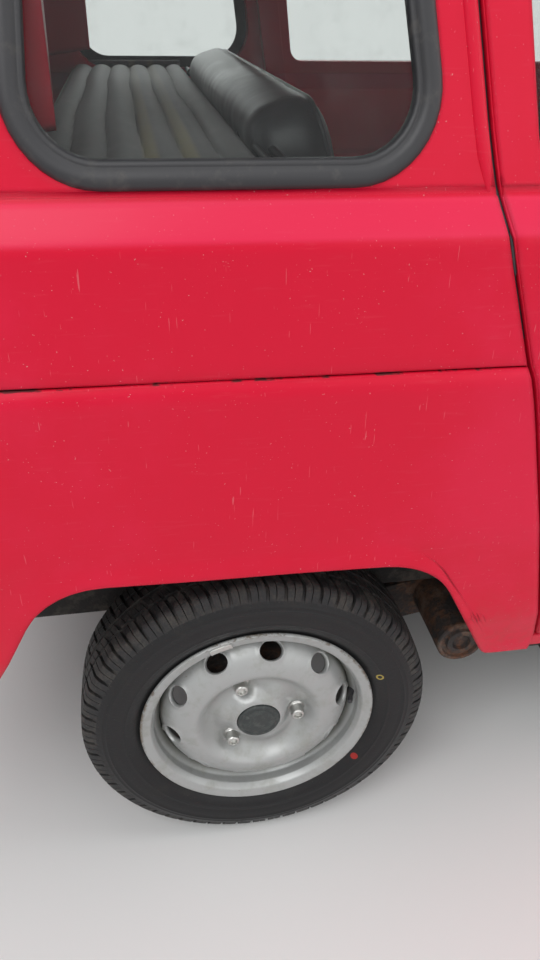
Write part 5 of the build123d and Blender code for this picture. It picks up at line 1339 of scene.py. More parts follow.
def tyre_grid(pitches, depth):
    """Tyre as a grid: rows across the section, columns round it.

    Every pitch has a groove and a thin cut across the tread, which sweep back toward the middle by a share of a
    pitch. A point lies at its place in the section less depth * max(groove across, groove round) along the normal.
    """
    rows = np.concatenate([TYRE_ROWS, TYRE_ROWS[::-1] * (-1, 1, 1, 1)])
    across, radius = rows[:, 0] / 1000, rows[:, 1] / 1000
    normal = np.stack([-np.gradient(radius), np.gradient(across)], axis=1)
    normal /= -np.hypot(normal[:, 0], normal[:, 1])[:, None]
    shares = np.tile(GROOVE_SHARES, pitches)
    turns = (np.arange(pitches)[:, None] + PITCH_PLACES[None, :]).ravel() / pitches
    sweep = 0.9 * np.sign(across) * (1 - np.minimum(abs(across) / 0.062, 1)) ** 1.4 / pitches
    half_pitch = np.where(across < 0, 0.5 / pitches, 0)
    angle = 2 * math.pi * (turns[None, :] + (sweep + half_pitch)[:, None])
    cut = depth * np.maximum(rows[:, 2][:, None] * shares[None, :], rows[:, 3][:, None])
    at_radius = radius[:, None] - cut * normal[:, 1][:, None]
    at_depth = across[:, None] - cut * normal[:, 0][:, None]
    grid = np.stack([at_radius * np.cos(angle), at_radius * np.sin(angle), at_depth], axis=-1)
    return grid, (rows[:, 1] > SHOULDER_RADIUS).astype(int)


class HATCHBACK_OT_tyres(Operator):
    """Makes the four tyres with their tread"""

    bl_idname = "hatchback.tyres"
    bl_label = "Tyres"

    def execute(self, context):
        settings = context.scene.hatchback_wheels
        grid, of_tread = tyre_grid(settings.pitches, settings.groove)
        for corner in CORNERS:
            entry = (onto_axle(grid, corner), True, True, of_tread)
            rubbers = [finish_of("tyre"), finish_of("tread")]
            piece = grids_object(f"tyre_{corner}_tread", [entry], rubbers, sharp=32)
            place(piece, f"wheel_{corner}", f"tyre_{corner}", slot="tyre")
        return {"FINISHED"}


VENTS = 10
VENT_START = math.radians(9.5)
VENT_CIRCLE = 0.1350
VENT_HALF_WIDTH = 0.0188
VENT_HALF_HEIGHT = 0.0122
BOLT_ANGLES = np.radians([-7, 113, 233])
BOLT_CIRCLE = 0.065
BAND_INNER = 0.1050
BAND_OUTER = 0.1470
DOME_CENTRE = (0.0956, 0.0077)
DOME_RADIUS = 0.0580


def dome_height(radius):
    """Depth of the domed band that holds the vents: centre depth + sqrt(radius of the dome^2 - distance^2)."""
    reach = np.clip(radius - DOME_CENTRE[0], -0.02, DOME_RADIUS * 0.995)
    return DOME_CENTRE[1] + np.sqrt(DOME_RADIUS**2 - reach**2)


def smooth(value, low, high):
    """Smooth step of a value from 0 at low to 1 at high: t * t * (3 - 2 t)."""
    share = np.clip((value - low) / (high - low), 0, 1)
    return share * share * (3 - 2 * share)


def bowl_height(radius, angle):
    """Depth of the wheel's bowl: a floor that rises to the hub in three lobes and to the dome's crest outside.

    The bolts sit in round pockets; outside the crest the depth is the dome's own.
    """
    floor = 0.0375 + (dome_height(radius) - 0.0375) * smooth(radius, 0.066, 0.101)
    cone = 0.0230 * (1 - smooth(radius, 0.033, 0.064))
    lobes = 0.5 + 0.5 * np.cos(3 * (angle - BOLT_ANGLES[0] - math.pi / 3))
    ridge = 0.0165 * lobes * (1 - smooth(radius, 0.046, 0.088))
    x, y = radius * np.cos(angle), radius * np.sin(angle)
    near = [np.hypot(x - BOLT_CIRCLE * np.cos(a), y - BOLT_CIRCLE * np.sin(a)) for a in BOLT_ANGLES]
    pocket = 1 - smooth(np.minimum.reduce(near), 0.0125, 0.0245)
    return (floor + np.maximum(cone, ridge)) * (1 - pocket) + 0.0365 * pocket


def vent_sector(columns_each=8):
    """One tenth of the vent band: rays from the vent's rolled lip to the sector's outline."""
    half = math.pi / VENTS
    arc = np.linspace(-half, half, columns_each + 1)
    rays = np.linspace(BAND_INNER, BAND_OUTER, 7)
    outline = [
        np.stack([BAND_INNER * np.cos(arc), BAND_INNER * np.sin(arc)], axis=1)[::-1],
        np.stack([rays * math.cos(half), -rays * math.sin(half)], axis=1)[1:],
        np.stack([BAND_OUTER * np.cos(arc), BAND_OUTER * np.sin(arc)], axis=1)[1:],
        np.stack([rays * math.cos(half), rays * math.sin(half)], axis=1)[::-1][1:-1],
    ]
    outline = np.concatenate(outline)
    centre = np.array([VENT_CIRCLE, 0.0])
    sizes = np.array([VENT_HALF_HEIGHT, VENT_HALF_WIDTH])
    ways = (outline - centre) / sizes
    ring = ways / np.hypot(*ways.T)[:, None]
    lean = math.asin((VENT_CIRCLE - DOME_CENTRE[0]) / DOME_RADIUS)
    outwards = np.array([math.sin(lean), 0, math.cos(lean)])
    lip = [(-0.0019, -0.0075), (-0.0018, -0.0032), (-0.0012, -0.0004)]
    lip += [(-0.0002, 0.0011), (0.0009, 0.0012), (0.0021, 0)]
    rows = []
    for grow, rise in lip:
        points = centre + ring * (sizes + grow)
        flat = np.column_stack([points, dome_height(np.hypot(*points.T))])
        rows.append(flat + outwards * rise)
    start = rows[-1]
    for share in (0.25, 0.5, 0.75, 1.0):
        points = start[:, :2] * (1 - share) + outline * share
        rows.append(np.column_stack([points, dome_height(np.hypot(*points.T))]))
    return np.array(rows)


def turned(grid, angle):
    """A grid turned about its depth axis."""
    cos, sin = math.cos(angle), math.sin(angle)
    x, y = grid[..., 0], grid[..., 1]
    return np.stack([cos * x - sin * y, sin * x + cos * y, grid[..., 2]], axis=-1)


def disc_grids():
    """Wheel disc: bowl, ten vent sectors, and the edge that runs down to the rim's well."""
    columns = VENTS * 8
    angle = VENT_START + math.pi / VENTS + 2 * math.pi * np.arange(columns) / columns
    radius = np.array([34.2, 36, 38, 41, 44, 47, 50, 53, 56, 59, 62, 65, 68, 71, 74, 77, 80, 83, 86, 89, 92, 95])
    radius = np.concatenate([radius, [98, 101, 105.0]])[:, None] / 1000
    height = bowl_height(radius, angle[None, :])
    bowl = np.stack([radius * np.cos(angle), radius * np.sin(angle), height], axis=-1)
    hub = revolved([(0.0328, 0.040), (0.0334, 0.0585)], columns, angle[0])
    grids = [(np.concatenate([hub, bowl]), False, True, 0)]
    sector = vent_sector()
    for index in range(VENTS):
        grids.append((turned(sector, VENT_START + 2 * math.pi * index / VENTS), False, True, 0))
    along = np.array([BAND_OUTER, 0.1485, 0.1500, 0.1510, 0.1518])
    dome = np.stack([along, dome_height(along)], axis=1)
    edge = np.concatenate([dome, [(0.1520, 0.0205), (0.1512, 0.0120)]])
    grids.append((revolved(edge, columns, angle[0]), False, True, 0))
    return grids


RIM_OUTLINE = [
    (182.3, 62.5, 0.6),
    (180.4, 58.6, 1.5),
    (167.5, 57.6, 4.0),
    (165, 54, 1.5),
    (165, 38, 6.0),
    (155.5, 27, 6.0),
    (155.5, -22, 6.0),
    (165, -34, 4.0),
    (165, -54, 1.5),
    (167.5, -57.6, 4.0),
    (180.4, -58.6, 1.5),
    (182.3, -62.5, 0.6),
    (180.6, -65.8, 1.6),
    (164, -62, 5.0),
    (160.5, -54, 3.0),
    (161.5, -36, 5.0),
    (152, -24, 6.0),
    (152, 28, 7.0),
    (161, 40, 7.0),
    (161, 52, 5.0),
    (166, 61.5, 6.0),
    (180.6, 65.8, 1.6),
]
BOLT_PROFILE = np.array(
    [
        (14.0, 33.0),
        (14.0, 37.4),
        (13.2, 38.2),
        (11.4, 38.8),
        (10.6, 40.0),
        (10.4, 52.0),
        (10.0, 53.8),
        (8.8, 54.8),
        (6.6, 55.2),
        (6.2, 54.8),
        (6.0, 50.0),
        (0.05, 49.4),
    ]
)
CAP_PROFILE = np.array(
    [
        (33.0, 44.0),
        (33.0, 60.6),
        (32.6, 62.6),
        (31.2, 64.2),
        (29.4, 64.9),
        (27.2, 65.0),
        (26.4, 64.4),
        (25.2, 64.4),
        (24.2, 65.2),
        (14.0, 65.9),
        (6.0, 66.1),
        (0.05, 66.2),
    ]
)
VALVE_ANGLE = math.radians(4)
WEIGHT_ANGLE = math.radians(109)


def wheel_extras():
    """Bolts, cap, valve and balance weight about the wheel's own axis, each with its finish's place in the list."""
    grids = []
    for angle in BOLT_ANGLES:
        bolt = revolved(BOLT_PROFILE / 1000, 30)
        bolt[..., :2] += BOLT_CIRCLE * np.array([math.cos(angle), math.sin(angle)])
        grids.append((bolt, False, True, 1))
    grids.append((revolved(CAP_PROFILE / 1000, 60), False, True, 2))
    way = np.array([math.cos(VALVE_ANGLE), math.sin(VALVE_ANGLE), 0])
    foot = way * 0.1560 + (0, 0, 0.031)
    share = np.linspace(0, 1, 12)[:, None]
    stem = foot + share * (way * -0.010 + np.array([0, 0, 0.027]))
    widths = np.array([5.4, 5.4, 5.2, 4.6, 3.9, 3.7, 3.7, 4.3, 4.3, 4.3, 4.0, 0.1]) / 1000
    grids.append((tube(stem, widths, 14), False, True, 3))
    clip_angle = WEIGHT_ANGLE + np.linspace(-0.095, 0.095, 15)[None, :]
    section = [(177.6, 64.9), (172.0, 63.9), (168.0, 61.6), (166.6, 63.6), (169.2, 66.0), (177.0, 66.2)]
    section = np.array(section) / 1000
    radius, depth = section[:, 0][:, None], section[:, 1][:, None]
    ends = 1 - 0.004 * (abs(clip_angle - WEIGHT_ANGLE) > 0.085)
    radius = radius * ends
    clip = np.stack([radius * np.cos(clip_angle), radius * np.sin(clip_angle), depth + 0 * clip_angle], axis=-1)
    grids.append((clip, True, False, 1))
    return grids


class HATCHBACK_OT_wheels(Operator):
    """Makes the four steel wheels with vents, bolts, caps, valves and balance weights"""

    bl_idname = "hatchback.wheels"
    bl_label = "Wheels"

    def execute(self, context):
        outline = np.array(RIM_OUTLINE)
        rim_path, _ = rounded_path(outline[:, :2] / 1000, outline[:, 2] / 1000, 0.012)
        rim = revolved(rim_path, 120)
        for corner in CORNERS:
            centre, _ = wheel_frame(corner)
            body = f"wheel_{corner}"
            silver = make_wheel_paint(corner, centre)
            disc = [(onto_axle(grid, corner), rows, columns, 0) for grid, rows, columns, _ in disc_grids()]
            outwards = (0, np.sign(centre[1]), 0)
            piece = grids_object(f"{body}_disc", disc, [silver], facing=outwards, sharp=50, wall=0.0032)
            place(piece, body, body, slot="wheel_paint")
            piece = grids_object(f"{body}_rim", [(onto_axle(rim, corner), True, True, 0)], [silver], sharp=50)
            place(piece, body, body, slot="wheel_paint")
            extras = [(onto_axle(grid, corner), *rest) for grid, *rest in wheel_extras()]
            finishes = [silver, finish_of("steel"), finish_of("cap"), finish_of("rubber")]
            piece = grids_object(f"{body}_bolts_and_cap", extras, finishes, sharp=40)
            place(piece, body, body, slot="steel")
        return {"FINISHED"}


class HATCHBACK_OT_rear_panels(Operator):
    """Makes the pressed skins of the rear wings and of the quarters above them"""

    bl_idname = "hatchback.rear_panels"
    bl_label = "Rear Panels"

    def execute(self, context):
        sheets = {
            "rear_wing": rear_wing_sheet,
            "quarter_lower": quarter_lower_sheet,
            "quarter_upper": quarter_upper_sheet,
        }
        for name, maker in sheets.items():
            for label, side in SIDES.items():
                entry = (maker(side), False, name == "quarter_upper", 0)
                paint = [finish_of("paint")]
                skin = grids_object(f"{name}_{label}_skin", [entry], paint, (0, side, 0), 60, wall=SKIN_WALL)
                place(skin, "root", slot="body_paint")
        return {"FINISHED"}


class HATCHBACK_OT_rear_doors(Operator):
    """Makes the pressed skins of the rear doors"""

    bl_idname = "hatchback.rear_doors"
    bl_label = "Rear Doors"

    def execute(self, context):
        for label, side in SIDES.items():
            lower = (rear_door_lower_sheet(side), False, False, 0)
            upper = (rear_door_upper_sheet(side), False, True, 0)
            grids, paint = [lower, upper], [finish_of("paint")]
            skin = grids_object(f"door_rear_{label}_skin", grids, paint, (0, side, 0), 60, wall=SKIN_WALL)
            place(skin, f"door_rear_{label}", slot="body_paint")
        return {"FINISHED"}


FLANGE_HALF = 0.0075
FLANGE_RISE = 0.0045


def flange_grid(side):
    """Raised rib on the quarter along the rear door's gap, narrowing to a tip below: rise * sqrt(1 - u^2)."""
    z = np.linspace(1.056, 1.452, 60)[:, None]
    u = np.sin(np.linspace(-math.pi / 2, math.pi / 2, 11))[None, :]
    width = FLANGE_HALF * np.clip((z - 1.054) / 0.035, 0.05, 1) ** 0.6
    middle = door_edge(z[:, 0], DOOR_GAP)[:, None] - 0.0015 - FLANGE_HALF
    rise = FLANGE_RISE * np.sqrt(np.clip(1 - u**2, 0, 1)) * np.clip((z - 1.050) / 0.03, 0.2, 1)
    return shell(middle + width * u, z + 0 * u, PROUD + rise, side)


def gap_strip(side):
    """Round rubber strip at the bottom of the rear door's gap, and the thicker buffer in it below the waist."""
    z = np.linspace(0.90, 1.43, 54)
    strip = tube(shell(door_edge(z, DOOR_GAP / 2), z, -0.008, side), 0.0021, 8)
    z = np.linspace(0.972, 1.018, 9)
    radius = 0.0023 * np.sqrt(np.clip(1 - np.linspace(-1, 1, 9) ** 6, 0.02, 1))
    buffer = tube(shell(door_edge(z, DOOR_GAP / 2), z, -0.0035, side), radius, 8)
    return strip, buffer


class HATCHBACK_OT_door_gaps(Operator):
    """Makes the raised flange beside each rear door's gap, and the rubber that lies in the gap"""

    bl_idname = "hatchback.door_gaps"
    bl_label = "Door Gaps"

    def execute(self, context):
        for label, side in SIDES.items():
            rib = [(flange_grid(side), False, False, 0)]
            flange = grids_object(f"door_flange_{label}", rib, [finish_of("paint")], (0, side, 0), 60)
            place(flange, "root", slot="body_paint")
            rubber = [(grid, False, True, 0) for grid in gap_strip(side)]
            place(grids_object(f"gap_rubber_{label}", rubber, [finish_of("rubber")]), "root", slot="rubber")
        return {"FINISHED"}


class HATCHBACK_OT_window_rubbers(Operator):
    """Makes the rounded rubbers round the quarter windows, the windscreen and the tailgate's window"""

    bl_idname = "hatchback.window_rubbers"
    bl_label = "Window Rubbers"

    def execute(self, context):
        grids = []
        for side in SIDES.values():
            path, inward = inward_path(QUARTER_WINDOW, RUBBER_CORNER)
            grids.append((bead(path, inward, RUBBER_SECTION, side), True, True, 0))
        screen = end_view_bead(SCREEN_OPENING, RUBBER_CORNER, RUBBER_SECTION, screen_surface)
        grids.append((screen, True, True, 0))
        piece = grids_object("window_rubbers", grids, [finish_of("rubber")], sharp=45)
        place(piece, "root", "window_seals", slot="rubber")
        tail = end_view_bead(TAIL_WINDOW, RUBBER_CORNER, RUBBER_SECTION, tail_surface)
        piece = grids_object("tailgate_rubber", [(tail, True, True, 0)], [finish_of("rubber")], sharp=45)
        place(piece, "tailgate", "tailgate_seal", slot="rubber")
        return {"FINISHED"}


# Seats in metres: cushion rear and front, middle, top, thickness, width, back height and thickness; lean in degrees
SEAT_SIZES = {
    "front_seat_right": (-0.080, 0.400, -0.330, 0.560, 0.130, 0.500, 0.560, 0.095, 14),
    "front_seat_left": (-0.080, 0.400, 0.330, 0.560, 0.130, 0.500, 0.560, 0.095, 14),
    "rear_bench": (-0.938, -0.448, 0.0, 0.610, 0.150, 1.000, 0.582, 0.100, 17),
}
PAD_EDGE = 0.038
PAD_CORNER = 0.062
SEAT_EDGE = 0.035
BACK_RISE = 0.020
BACK_REACH = math.sqrt(0.0703**2 - BACK_RISE**2)


def pad_grids(length, width, thickness, seams):
    """Upholstered pad lying flat about its middle, and its welt.

    Rows run from the middle of the top to the middle of the underside. Inside the rolled edge they are the outline
    scaled down; in the edge the outline is drawn in by r (1 - sin a) and sinks by r (1 - cos a). The top swells by
    the crown times (1 - x^2)(1 - y^2), sinks along the stitched seams as exp(-(d / s)^2), and is gently creased.
    """
    half_length, half_width, half = length / 2, width / 2, thickness / 2
    corners = [(half_length, -half_width), (half_length, half_width)]
    corners += [(-half_length, half_width), (-half_length, -half_width)]
    outline, inward = rounded_path(corners, PAD_CORNER, 0.012)
    inner = outline + inward * PAD_EDGE
    scale = np.linspace(0, 1, 40)[:, None, None]
    top = inner[None] * scale
    turn = np.linspace(0, math.pi / 2, 8)[1:, None, None]
    edge = outline[None] + inward[None] * PAD_EDGE * (1 - np.sin(turn))
    sink = PAD_EDGE * (1 - np.cos(turn[:, :, 0]))
    under = inner[None] * np.linspace(1, 0, 5)[:, None, None]
    plan = np.concatenate([top, edge, edge[::-1], under])
    count = outline.shape[0]
    level = np.concatenate([np.full((40, count), half), half - sink + np.zeros((7, count))])
    level = np.concatenate([level, -(half - sink[::-1]) + np.zeros((7, count)), np.full((5, count), -half)])
    x, y = plan[..., 0], plan[..., 1]
    x_share, y_share = x / half_length, y / half_width
    upper = level > 0
    swell = 0.014 * np.clip(1 - x_share**2, 0, 1) * np.clip(1 - y_share**2, 0, 1)
    panel = np.clip((0.80 - np.abs(x_share)) / 0.08, 0, 1)
    stitched = sum(np.exp(-(((y - seam) / 0.008) ** 2)) for seam in seams)
    creases = 0.0012 * np.sin(47 * x + 9 * np.sin(13 * y)) * np.sin(31 * y + 5 * np.sin(17 * x))
    z = level + np.where(upper, swell - 0.0055 * stitched * panel, 0) + creases
    welt_path = outline + inward * PAD_EDGE * 0.29
    welt = np.column_stack([welt_path, np.full(count, half - PAD_EDGE * 0.29)])
    return np.stack([x, y, z], axis=-1), tube(welt, 0.0036, 8, closed=True)


def seat_grids(rear, front, middle, top, thickness, width, back_height, back_thickness, lean):
    """Cushion and leaning back of a seat: the back's foot rests on the cushion's rear edge."""
    seams = (np.arange(-2, 3) if width < 0.7 else np.arange(-5, 6)) * 0.078
    grids = []
    for grid, welted in zip(pad_grids(front - rear, width, thickness, seams), (False, True)):
        grids.append((grid + np.array([(rear + front) / 2, middle, top - thickness / 2]), welted, True, 0))
    angle = math.radians(-lean)
    edge = SEAT_EDGE
    foot = np.array([rear + edge - BACK_REACH, middle, top - edge + BACK_RISE])
    from_middle = np.array([back_thickness / 2 - edge, 0, edge - back_height / 2])
    turn = np.array([[math.cos(angle), 0, math.sin(angle)], [0, 1, 0], [-math.sin(angle), 0, math.cos(angle)]])
    for grid, welted in zip(pad_grids(back_height, width, back_thickness, seams), (False, True)):
        upright = grid[..., [2, 1, 0]]
        grids.append((upright @ turn.T + (foot - turn @ from_middle), welted, True, 0))
    return grids


class HATCHBACK_OT_seats(Operator):
    """Makes the front seats and the rear bench, with stitched seams and welted edges"""

    bl_idname = "hatchback.seats"
    bl_label = "Seats"

    def execute(self, context):
        fronts = []
        for name, sizes in SEAT_SIZES.items():
            piece = grids_object(name, seat_grids(*sizes), [finish_of("vinyl")], sharp=60)
            if name == "rear_bench":
                place(piece, "root", "rear_seat", slot="vinyl")
            else:
                place(piece, "root", slot="vinyl")
                fronts.append(piece)
        for piece in fronts:
            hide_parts("front_seats")
        return {"FINISHED"}


SHELF_REAR, SHELF_FRONT = -1.444, -1.184
SHELF_LEVEL = 1.0615
PLEAT = 0.0435
TUBES_X = (-1.1745, -1.1570)
TUBE_LEVEL = 1.0640


def shelf_edge(x, z, side):
    """Width of the cabin just inside the quarter at a station."""
    return shell(x, z, -0.020, side)[..., 1]


def shelf_grid():
    """Pleated cover: height is rise * |sin(pi x / pleat)|^0.6, flattened toward both hems, with a slow waver."""
    x = np.linspace(SHELF_REAR, SHELF_FRONT, 121)[:, None]
    v = np.linspace(0, 1, 90)[None, :]
    low, high = shelf_edge(x, SHELF_LEVEL, -1), shelf_edge(x, SHELF_LEVEL, 1)
    y = low + (high - low) * v
    waver = 0.0035 * np.sin(3.1 * y + 1.3) + 0.0015 * np.sin(11 * y + x * 20)
    phase = (x - SHELF_REAR + waver) / PLEAT
    pleats = np.abs(np.sin(math.pi * phase)) ** 0.6
    hem = np.clip(np.minimum(v, 1 - v) / 0.035, 0, 1) ** 0.7
    fore = np.clip(np.minimum(x - SHELF_REAR, SHELF_FRONT - x) / 0.010, 0, 1)
    sag = 0.0012 * np.sin(9 * y) * np.sin(23 * x)
    z = SHELF_LEVEL + (0.0105 * pleats + sag + 0.0015) * (0.12 + 0.88 * hem) * fore
    return np.stack([x + 0 * y, y, z], axis=-1)


def across_tube(x, z, radius, low, high, steps=12):
    """Round bar across the car with rounded ends."""
    share = np.linspace(0, 1, 40)
    y = low + (high - low) * share
    ends = radius * np.sqrt(np.clip(1 - np.abs(2 * share - 1) ** 60, 0.01, 1))
    return tube(np.column_stack([np.full(40, x), y, np.full(40, z)]), ends, steps)


class HATCHBACK_OT_shelf_cover(Operator):
    """Makes the pleated cover of the parcel shelf, its rolled end, and the two bars with clips ahead of it"""

    bl_idname = "hatchback.shelf_cover"
    bl_label = "Shelf Cover"

    def execute(self, context):
        sheet = [(shelf_grid(), False, False, 0)]
        cover = grids_object("shelf_cover", sheet, [finish_of("shelf")], (0, 0, 1), 50, wall=0.003)
        place(cover, "root", slot="shelf")
        x = np.linspace(SHELF_REAR + 0.01, SHELF_FRONT - 0.005, 30)
        rolled = np.column_stack([x, shelf_edge(x, SHELF_LEVEL, 1) - 0.010, np.full(30, SHELF_LEVEL + 0.010)])
        roll = grids_object("shelf_roll", [(tube(rolled, 0.0085, 12), False, True, 0)], [finish_of("shelf")])
        place(roll, "root", slot="shelf")
        bars = []
        for x in TUBES_X:
            low, high = shelf_edge(np.array(x), TUBE_LEVEL, -1), shelf_edge(np.array(x), TUBE_LEVEL, 1)
            bars.append((across_tube(x, TUBE_LEVEL, 0.0048, float(low), float(high)), False, True, 0))
        for y in (-0.35, 0.53):
            for x in TUBES_X:
                bars.append((across_tube(x, TUBE_LEVEL, 0.0085, y - 0.010, y + 0.010), False, True, 0))
        place(grids_object("shelf_bars", bars, [finish_of("plastic")]), "root", slot="trim")
        return {"FINISHED"}


PIVOT = (-0.852, 0.330)
PIVOT_FACE = [
    (0.0405, -0.600),
    (0.0405, -0.6235),
    (0.0385, -0.6255),
    (0.0335, -0.6255),
    (0.0320, -0.6215),
    (0.0255, -0.6215),
    (0.0240, -0.6265),
    (0.0155, -0.6265),
    (0.0140, -0.6200),
    (0.0, -0.6200),
]


class HATCHBACK_OT_pivot_ends(Operator):
    """Makes the double-ringed end plates of the rear arms' pivots"""

    bl_idname = "hatchback.pivot_ends"
    bl_label = "Pivot Ends"

    def execute(self, context):
        for label, side in SIDES.items():
            offset = AXLES["rear"][side] - AXLES["rear"][-1]
            ring = revolved([(radius, -side * depth) for radius, depth in PIVOT_FACE], 40)[..., [0, 2, 1]]
            ring[..., 1] *= -1 if side * ring[0, 0, 1] < 0 else 1
            ring = ring + np.array([PIVOT[0] + offset, 0, PIVOT[1]])
            grids = [(ring, False, True, 0)]
            piece = grids_object(f"pivot_end_{label}", grids, [finish_of("rusty")], (0, side, 0))
            place(piece, "root", slot="cast")
        return {"FINISHED"}


HANDLE_HEIGHT = 0.945
HANDLES = {"front": (0.005, 0.125), "rear": (-0.865, -0.745)}


def handle_grid(ends, side):
    """Pull bar along the door: it stands off by the standoff times sqrt(1 - u^6), u running from end to end."""
    u = np.linspace(-1, 1, 41)
    x = (ends[0] + ends[1]) / 2 + u * (ends[1] - ends[0]) / 2
    out = PROUD + 0.0085 * np.sqrt(np.clip(1 - u**6, 0, 1))
    return tube(shell(x, np.full(41, HANDLE_HEIGHT), out, side), 0.0062, 12)


class HATCHBACK_OT_outer_trim(Operator):
    """Makes the door handles, the rain gutters, the wipers and the blank rear plate"""

    bl_idname = "hatchback.outer_trim"
    bl_label = "Outer Trim"

    def execute(self, context):
        for label, side in SIDES.items():
            for row, ends in HANDLES.items():
                bar = [(handle_grid(ends, side), False, True, 0)]
                handle = grids_object(f"handle_{row}_{label}", bar, [finish_of("plastic")])
                place(handle, f"door_{row}_{label}", slot="trim")
            x = np.linspace(-1.50, 0.42, 70)
            height = below_roof(x, -0.004, side)
            rail = [(tube(shell(x, height, 0.0025, side), 0.0045, 8), False, True, 0)]
            gutter = grids_object(f"gutter_{label}", rail, [finish_of("paint")])
            place(gutter, "root", slot="body_paint")
        wipers = []
        for start, end in ((-0.42, 0.03), (0.06, 0.50)):
            y = np.linspace(start, end, 24)
            wipers.append((tube(screen_surface(y, np.full(24, 1.098), 0.006), 0.0035, 8), False, True, 0))
            middle = (start + end) / 2
            share = np.linspace(0, 1, 16)
            lift = 0.011 + 0.004 * np.sin(math.pi * share)
            arm = screen_surface(middle - 0.16 * (1 - share), 1.068 + 0.032 * share, lift)
            wipers.append((tube(arm, 0.0040, 8), False, True, 0))
        place(grids_object("wipers", wipers, [finish_of("plastic")]), "root", slot="trim")
        y, z = np.meshgrid(np.linspace(-0.26, 0.26, 27), np.linspace(0.600, 0.712, 7), indexing="ij")
        sheet = [(tail_surface(y, z, 0.004), False, False, 0)]
        plate = grids_object("rear_plate", sheet, [finish_of("plate")], (-1, 0, 0), wall=0.0025)
        place(plate, "tailgate", slot="trim")
        return {"FINISHED"}


def camera_rotation(yaw, pitch, roll):
    """Camera's right, up and back axes as columns: forward is (sin y cos p, cos y cos p, -sin p)."""
    forward = np.array([math.sin(yaw) * math.cos(pitch), math.cos(yaw) * math.cos(pitch), -math.sin(pitch)])
    right = np.array([math.cos(yaw), -math.sin(yaw), 0.0])
    up = np.cross(right, forward)
    across = right * math.cos(roll) + up * math.sin(roll)
    upward = up * math.cos(roll) - right * math.sin(roll)
    return np.column_stack([across, upward, -forward])


CAMERA_PLACE = (-1.3307, -1.4818, 1.2269)
# Soft boxes: place, size in metres and power in watts; each one faces the middle of the car
SOFT_BOXES = {
    "key": ((-3.4, -4.0, 5.0), 3.6, 165.0),
    "side": ((1.8, -5.0, 2.6), 4.0, 45.0),
    "overhead": ((0.0, 0.0, 5.0), 4.5, 85.0),
    "far_side": ((-0.6, 5.2, 3.6), 4.5, 115.0),
    "nose": ((5.2, -1.0, 3.0), 4.0, 80.0),
}


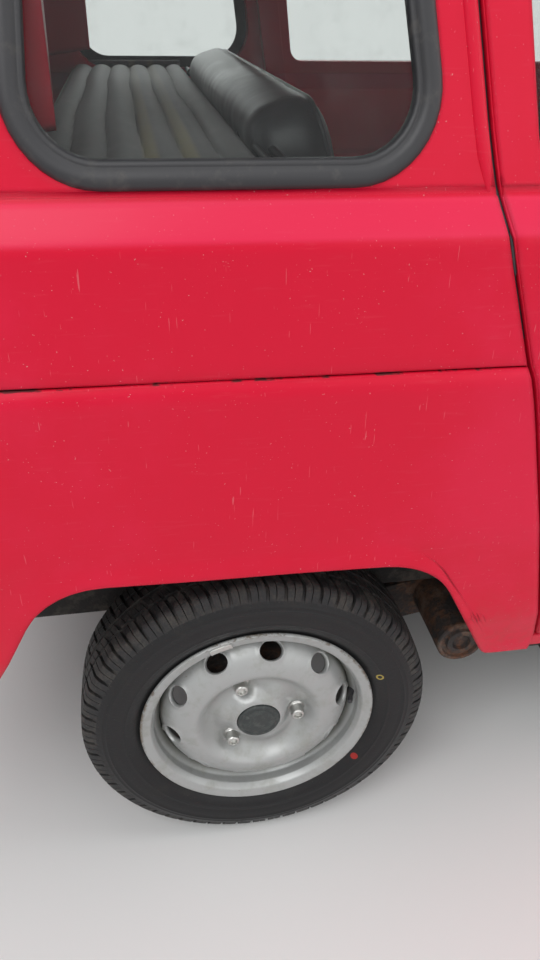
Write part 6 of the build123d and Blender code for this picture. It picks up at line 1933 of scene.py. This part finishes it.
class HATCHBACK_OT_stage(Operator):
    """Makes the pale floor, the soft boxes, the plain world and the camera"""

    bl_idname = "hatchback.stage"
    bl_label = "Stage"

    def execute(self, context):
        settings = context.scene.hatchback_stage
        reach = np.linspace(-30, 30, 5)
        x, y = np.meshgrid(reach, reach, indexing="ij")
        sheet = np.stack([x, y, 0 * x - 0.0005], axis=-1)
        ground = grids_object("studio_floor", [(sheet, False, False, 0)], [make_floor()], (0, 0, 1))
        for name, (position, size, power) in SOFT_BOXES.items():
            lamp = bpy.data.lights.new(f"soft_box_{name}", "AREA")
            lamp.shape = "SQUARE"
            lamp.size = size
            lamp.energy = power
            holder = bpy.data.objects.new(f"soft_box_{name}", lamp)
            holder.location = position
            way = Vector((0, 0, 0.5)) - Vector(position)
            holder.rotation_euler = way.to_track_quat("-Z", "Y").to_euler()
            context.scene.collection.objects.link(holder)
        camera = bpy.data.cameras.new("photograph_view")
        camera.lens = settings.lens
        camera.sensor_width = 36.0
        camera.sensor_fit = "AUTO"
        camera.clip_start = 0.02
        view = bpy.data.objects.new("photograph_view", camera)
        axes = camera_rotation(settings.yaw, settings.pitch, settings.roll)
        turn = Matrix([[float(value) for value in row] for row in axes])
        view.matrix_world = Matrix.Translation(CAMERA_PLACE) @ turn.to_4x4()
        context.scene.collection.objects.link(view)
        context.scene.camera = view
        context.scene.view_settings.view_transform = "Standard"
        self.light_world(context)
        return {"FINISHED"}

    def light_world(self, context):
        """World: soft even light on the car, and plain white for camera, glossy and transmitted rays."""
        world = bpy.data.worlds.new("studio_world")
        world.use_nodes = True
        tree = world.node_tree
        tree.nodes.clear()
        path = tree.nodes.new("ShaderNodeLightPath")
        seen = tree.nodes.new("ShaderNodeMath")
        seen.operation = "MAXIMUM"
        seen_more = tree.nodes.new("ShaderNodeMath")
        seen_more.operation = "MAXIMUM"
        tree.links.new(path.outputs["Is Camera Ray"], seen.inputs[0])
        tree.links.new(path.outputs["Is Glossy Ray"], seen.inputs[1])
        tree.links.new(seen.outputs[0], seen_more.inputs[0])
        tree.links.new(path.outputs["Is Transmission Ray"], seen_more.inputs[1])
        soft = tree.nodes.new("ShaderNodeBackground")
        soft.inputs["Color"].default_value = (0.95, 0.97, 1.0, 1)
        soft.inputs["Strength"].default_value = 0.30
        white = tree.nodes.new("ShaderNodeBackground")
        white.inputs["Color"].default_value = (1, 1, 1, 1)
        white.inputs["Strength"].default_value = 0.9
        mixed = tree.nodes.new("ShaderNodeMixShader")
        tree.links.new(seen_more.outputs[0], mixed.inputs[0])
        tree.links.new(soft.outputs[0], mixed.inputs[1])
        tree.links.new(white.outputs[0], mixed.inputs[2])
        output = tree.nodes.new("ShaderNodeOutputWorld")
        tree.links.new(mixed.outputs[0], output.inputs["Surface"])
        context.scene.world = world


GROUPS = {
    "hatchback_paint": HatchbackPaint,
    "hatchback_wheels": HatchbackWheels,
    "hatchback_trim": HatchbackTrim,
    "hatchback_stage": HatchbackStage,
}
OPERATORS = (
    HATCHBACK_OT_finish_frame,
    HATCHBACK_OT_rear_panels,
    HATCHBACK_OT_rear_doors,
    HATCHBACK_OT_door_gaps,
    HATCHBACK_OT_window_rubbers,
    HATCHBACK_OT_shelf_cover,
    HATCHBACK_OT_seats,
    HATCHBACK_OT_pivot_ends,
    HATCHBACK_OT_outer_trim,
    HATCHBACK_OT_wheels,
    HATCHBACK_OT_tyres,
    HATCHBACK_OT_stage,
)


class HATCHBACK_PT_panel(Panel):
    """Sizes, colours and pieces of the hatchback"""

    bl_idname = "HATCHBACK_PT_panel"
    bl_label = "Hatchback"
    bl_space_type = "VIEW_3D"
    bl_region_type = "UI"
    bl_category = "Hatchback"

    def draw(self, context):
        for name, group in GROUPS.items():
            box = self.layout.box()
            for prop in group.__annotations__:
                box.prop(getattr(context.scene, name), prop)
        for operator in OPERATORS:
            self.layout.operator(operator.bl_idname)


def register():
    for group in GROUPS.values():
        bpy.utils.register_class(group)
    for name, group in GROUPS.items():
        setattr(bpy.types.Scene, name, PointerProperty(type=group))
    for operator in OPERATORS:
        bpy.utils.register_class(operator)
    bpy.utils.register_class(HATCHBACK_PT_panel)


def unregister():
    bpy.utils.unregister_class(HATCHBACK_PT_panel)
    for operator in reversed(OPERATORS):
        bpy.utils.unregister_class(operator)
    for name in GROUPS:
        delattr(bpy.types.Scene, name)
    for group in reversed(GROUPS.values()):
        bpy.utils.unregister_class(group)


def main():
    """Makes every piece in order."""
    register()
    for operator in OPERATORS:
        family, name = operator.bl_idname.split(".")
        getattr(getattr(bpy.ops, family), name)()


if __name__ == "__main__":
    main()
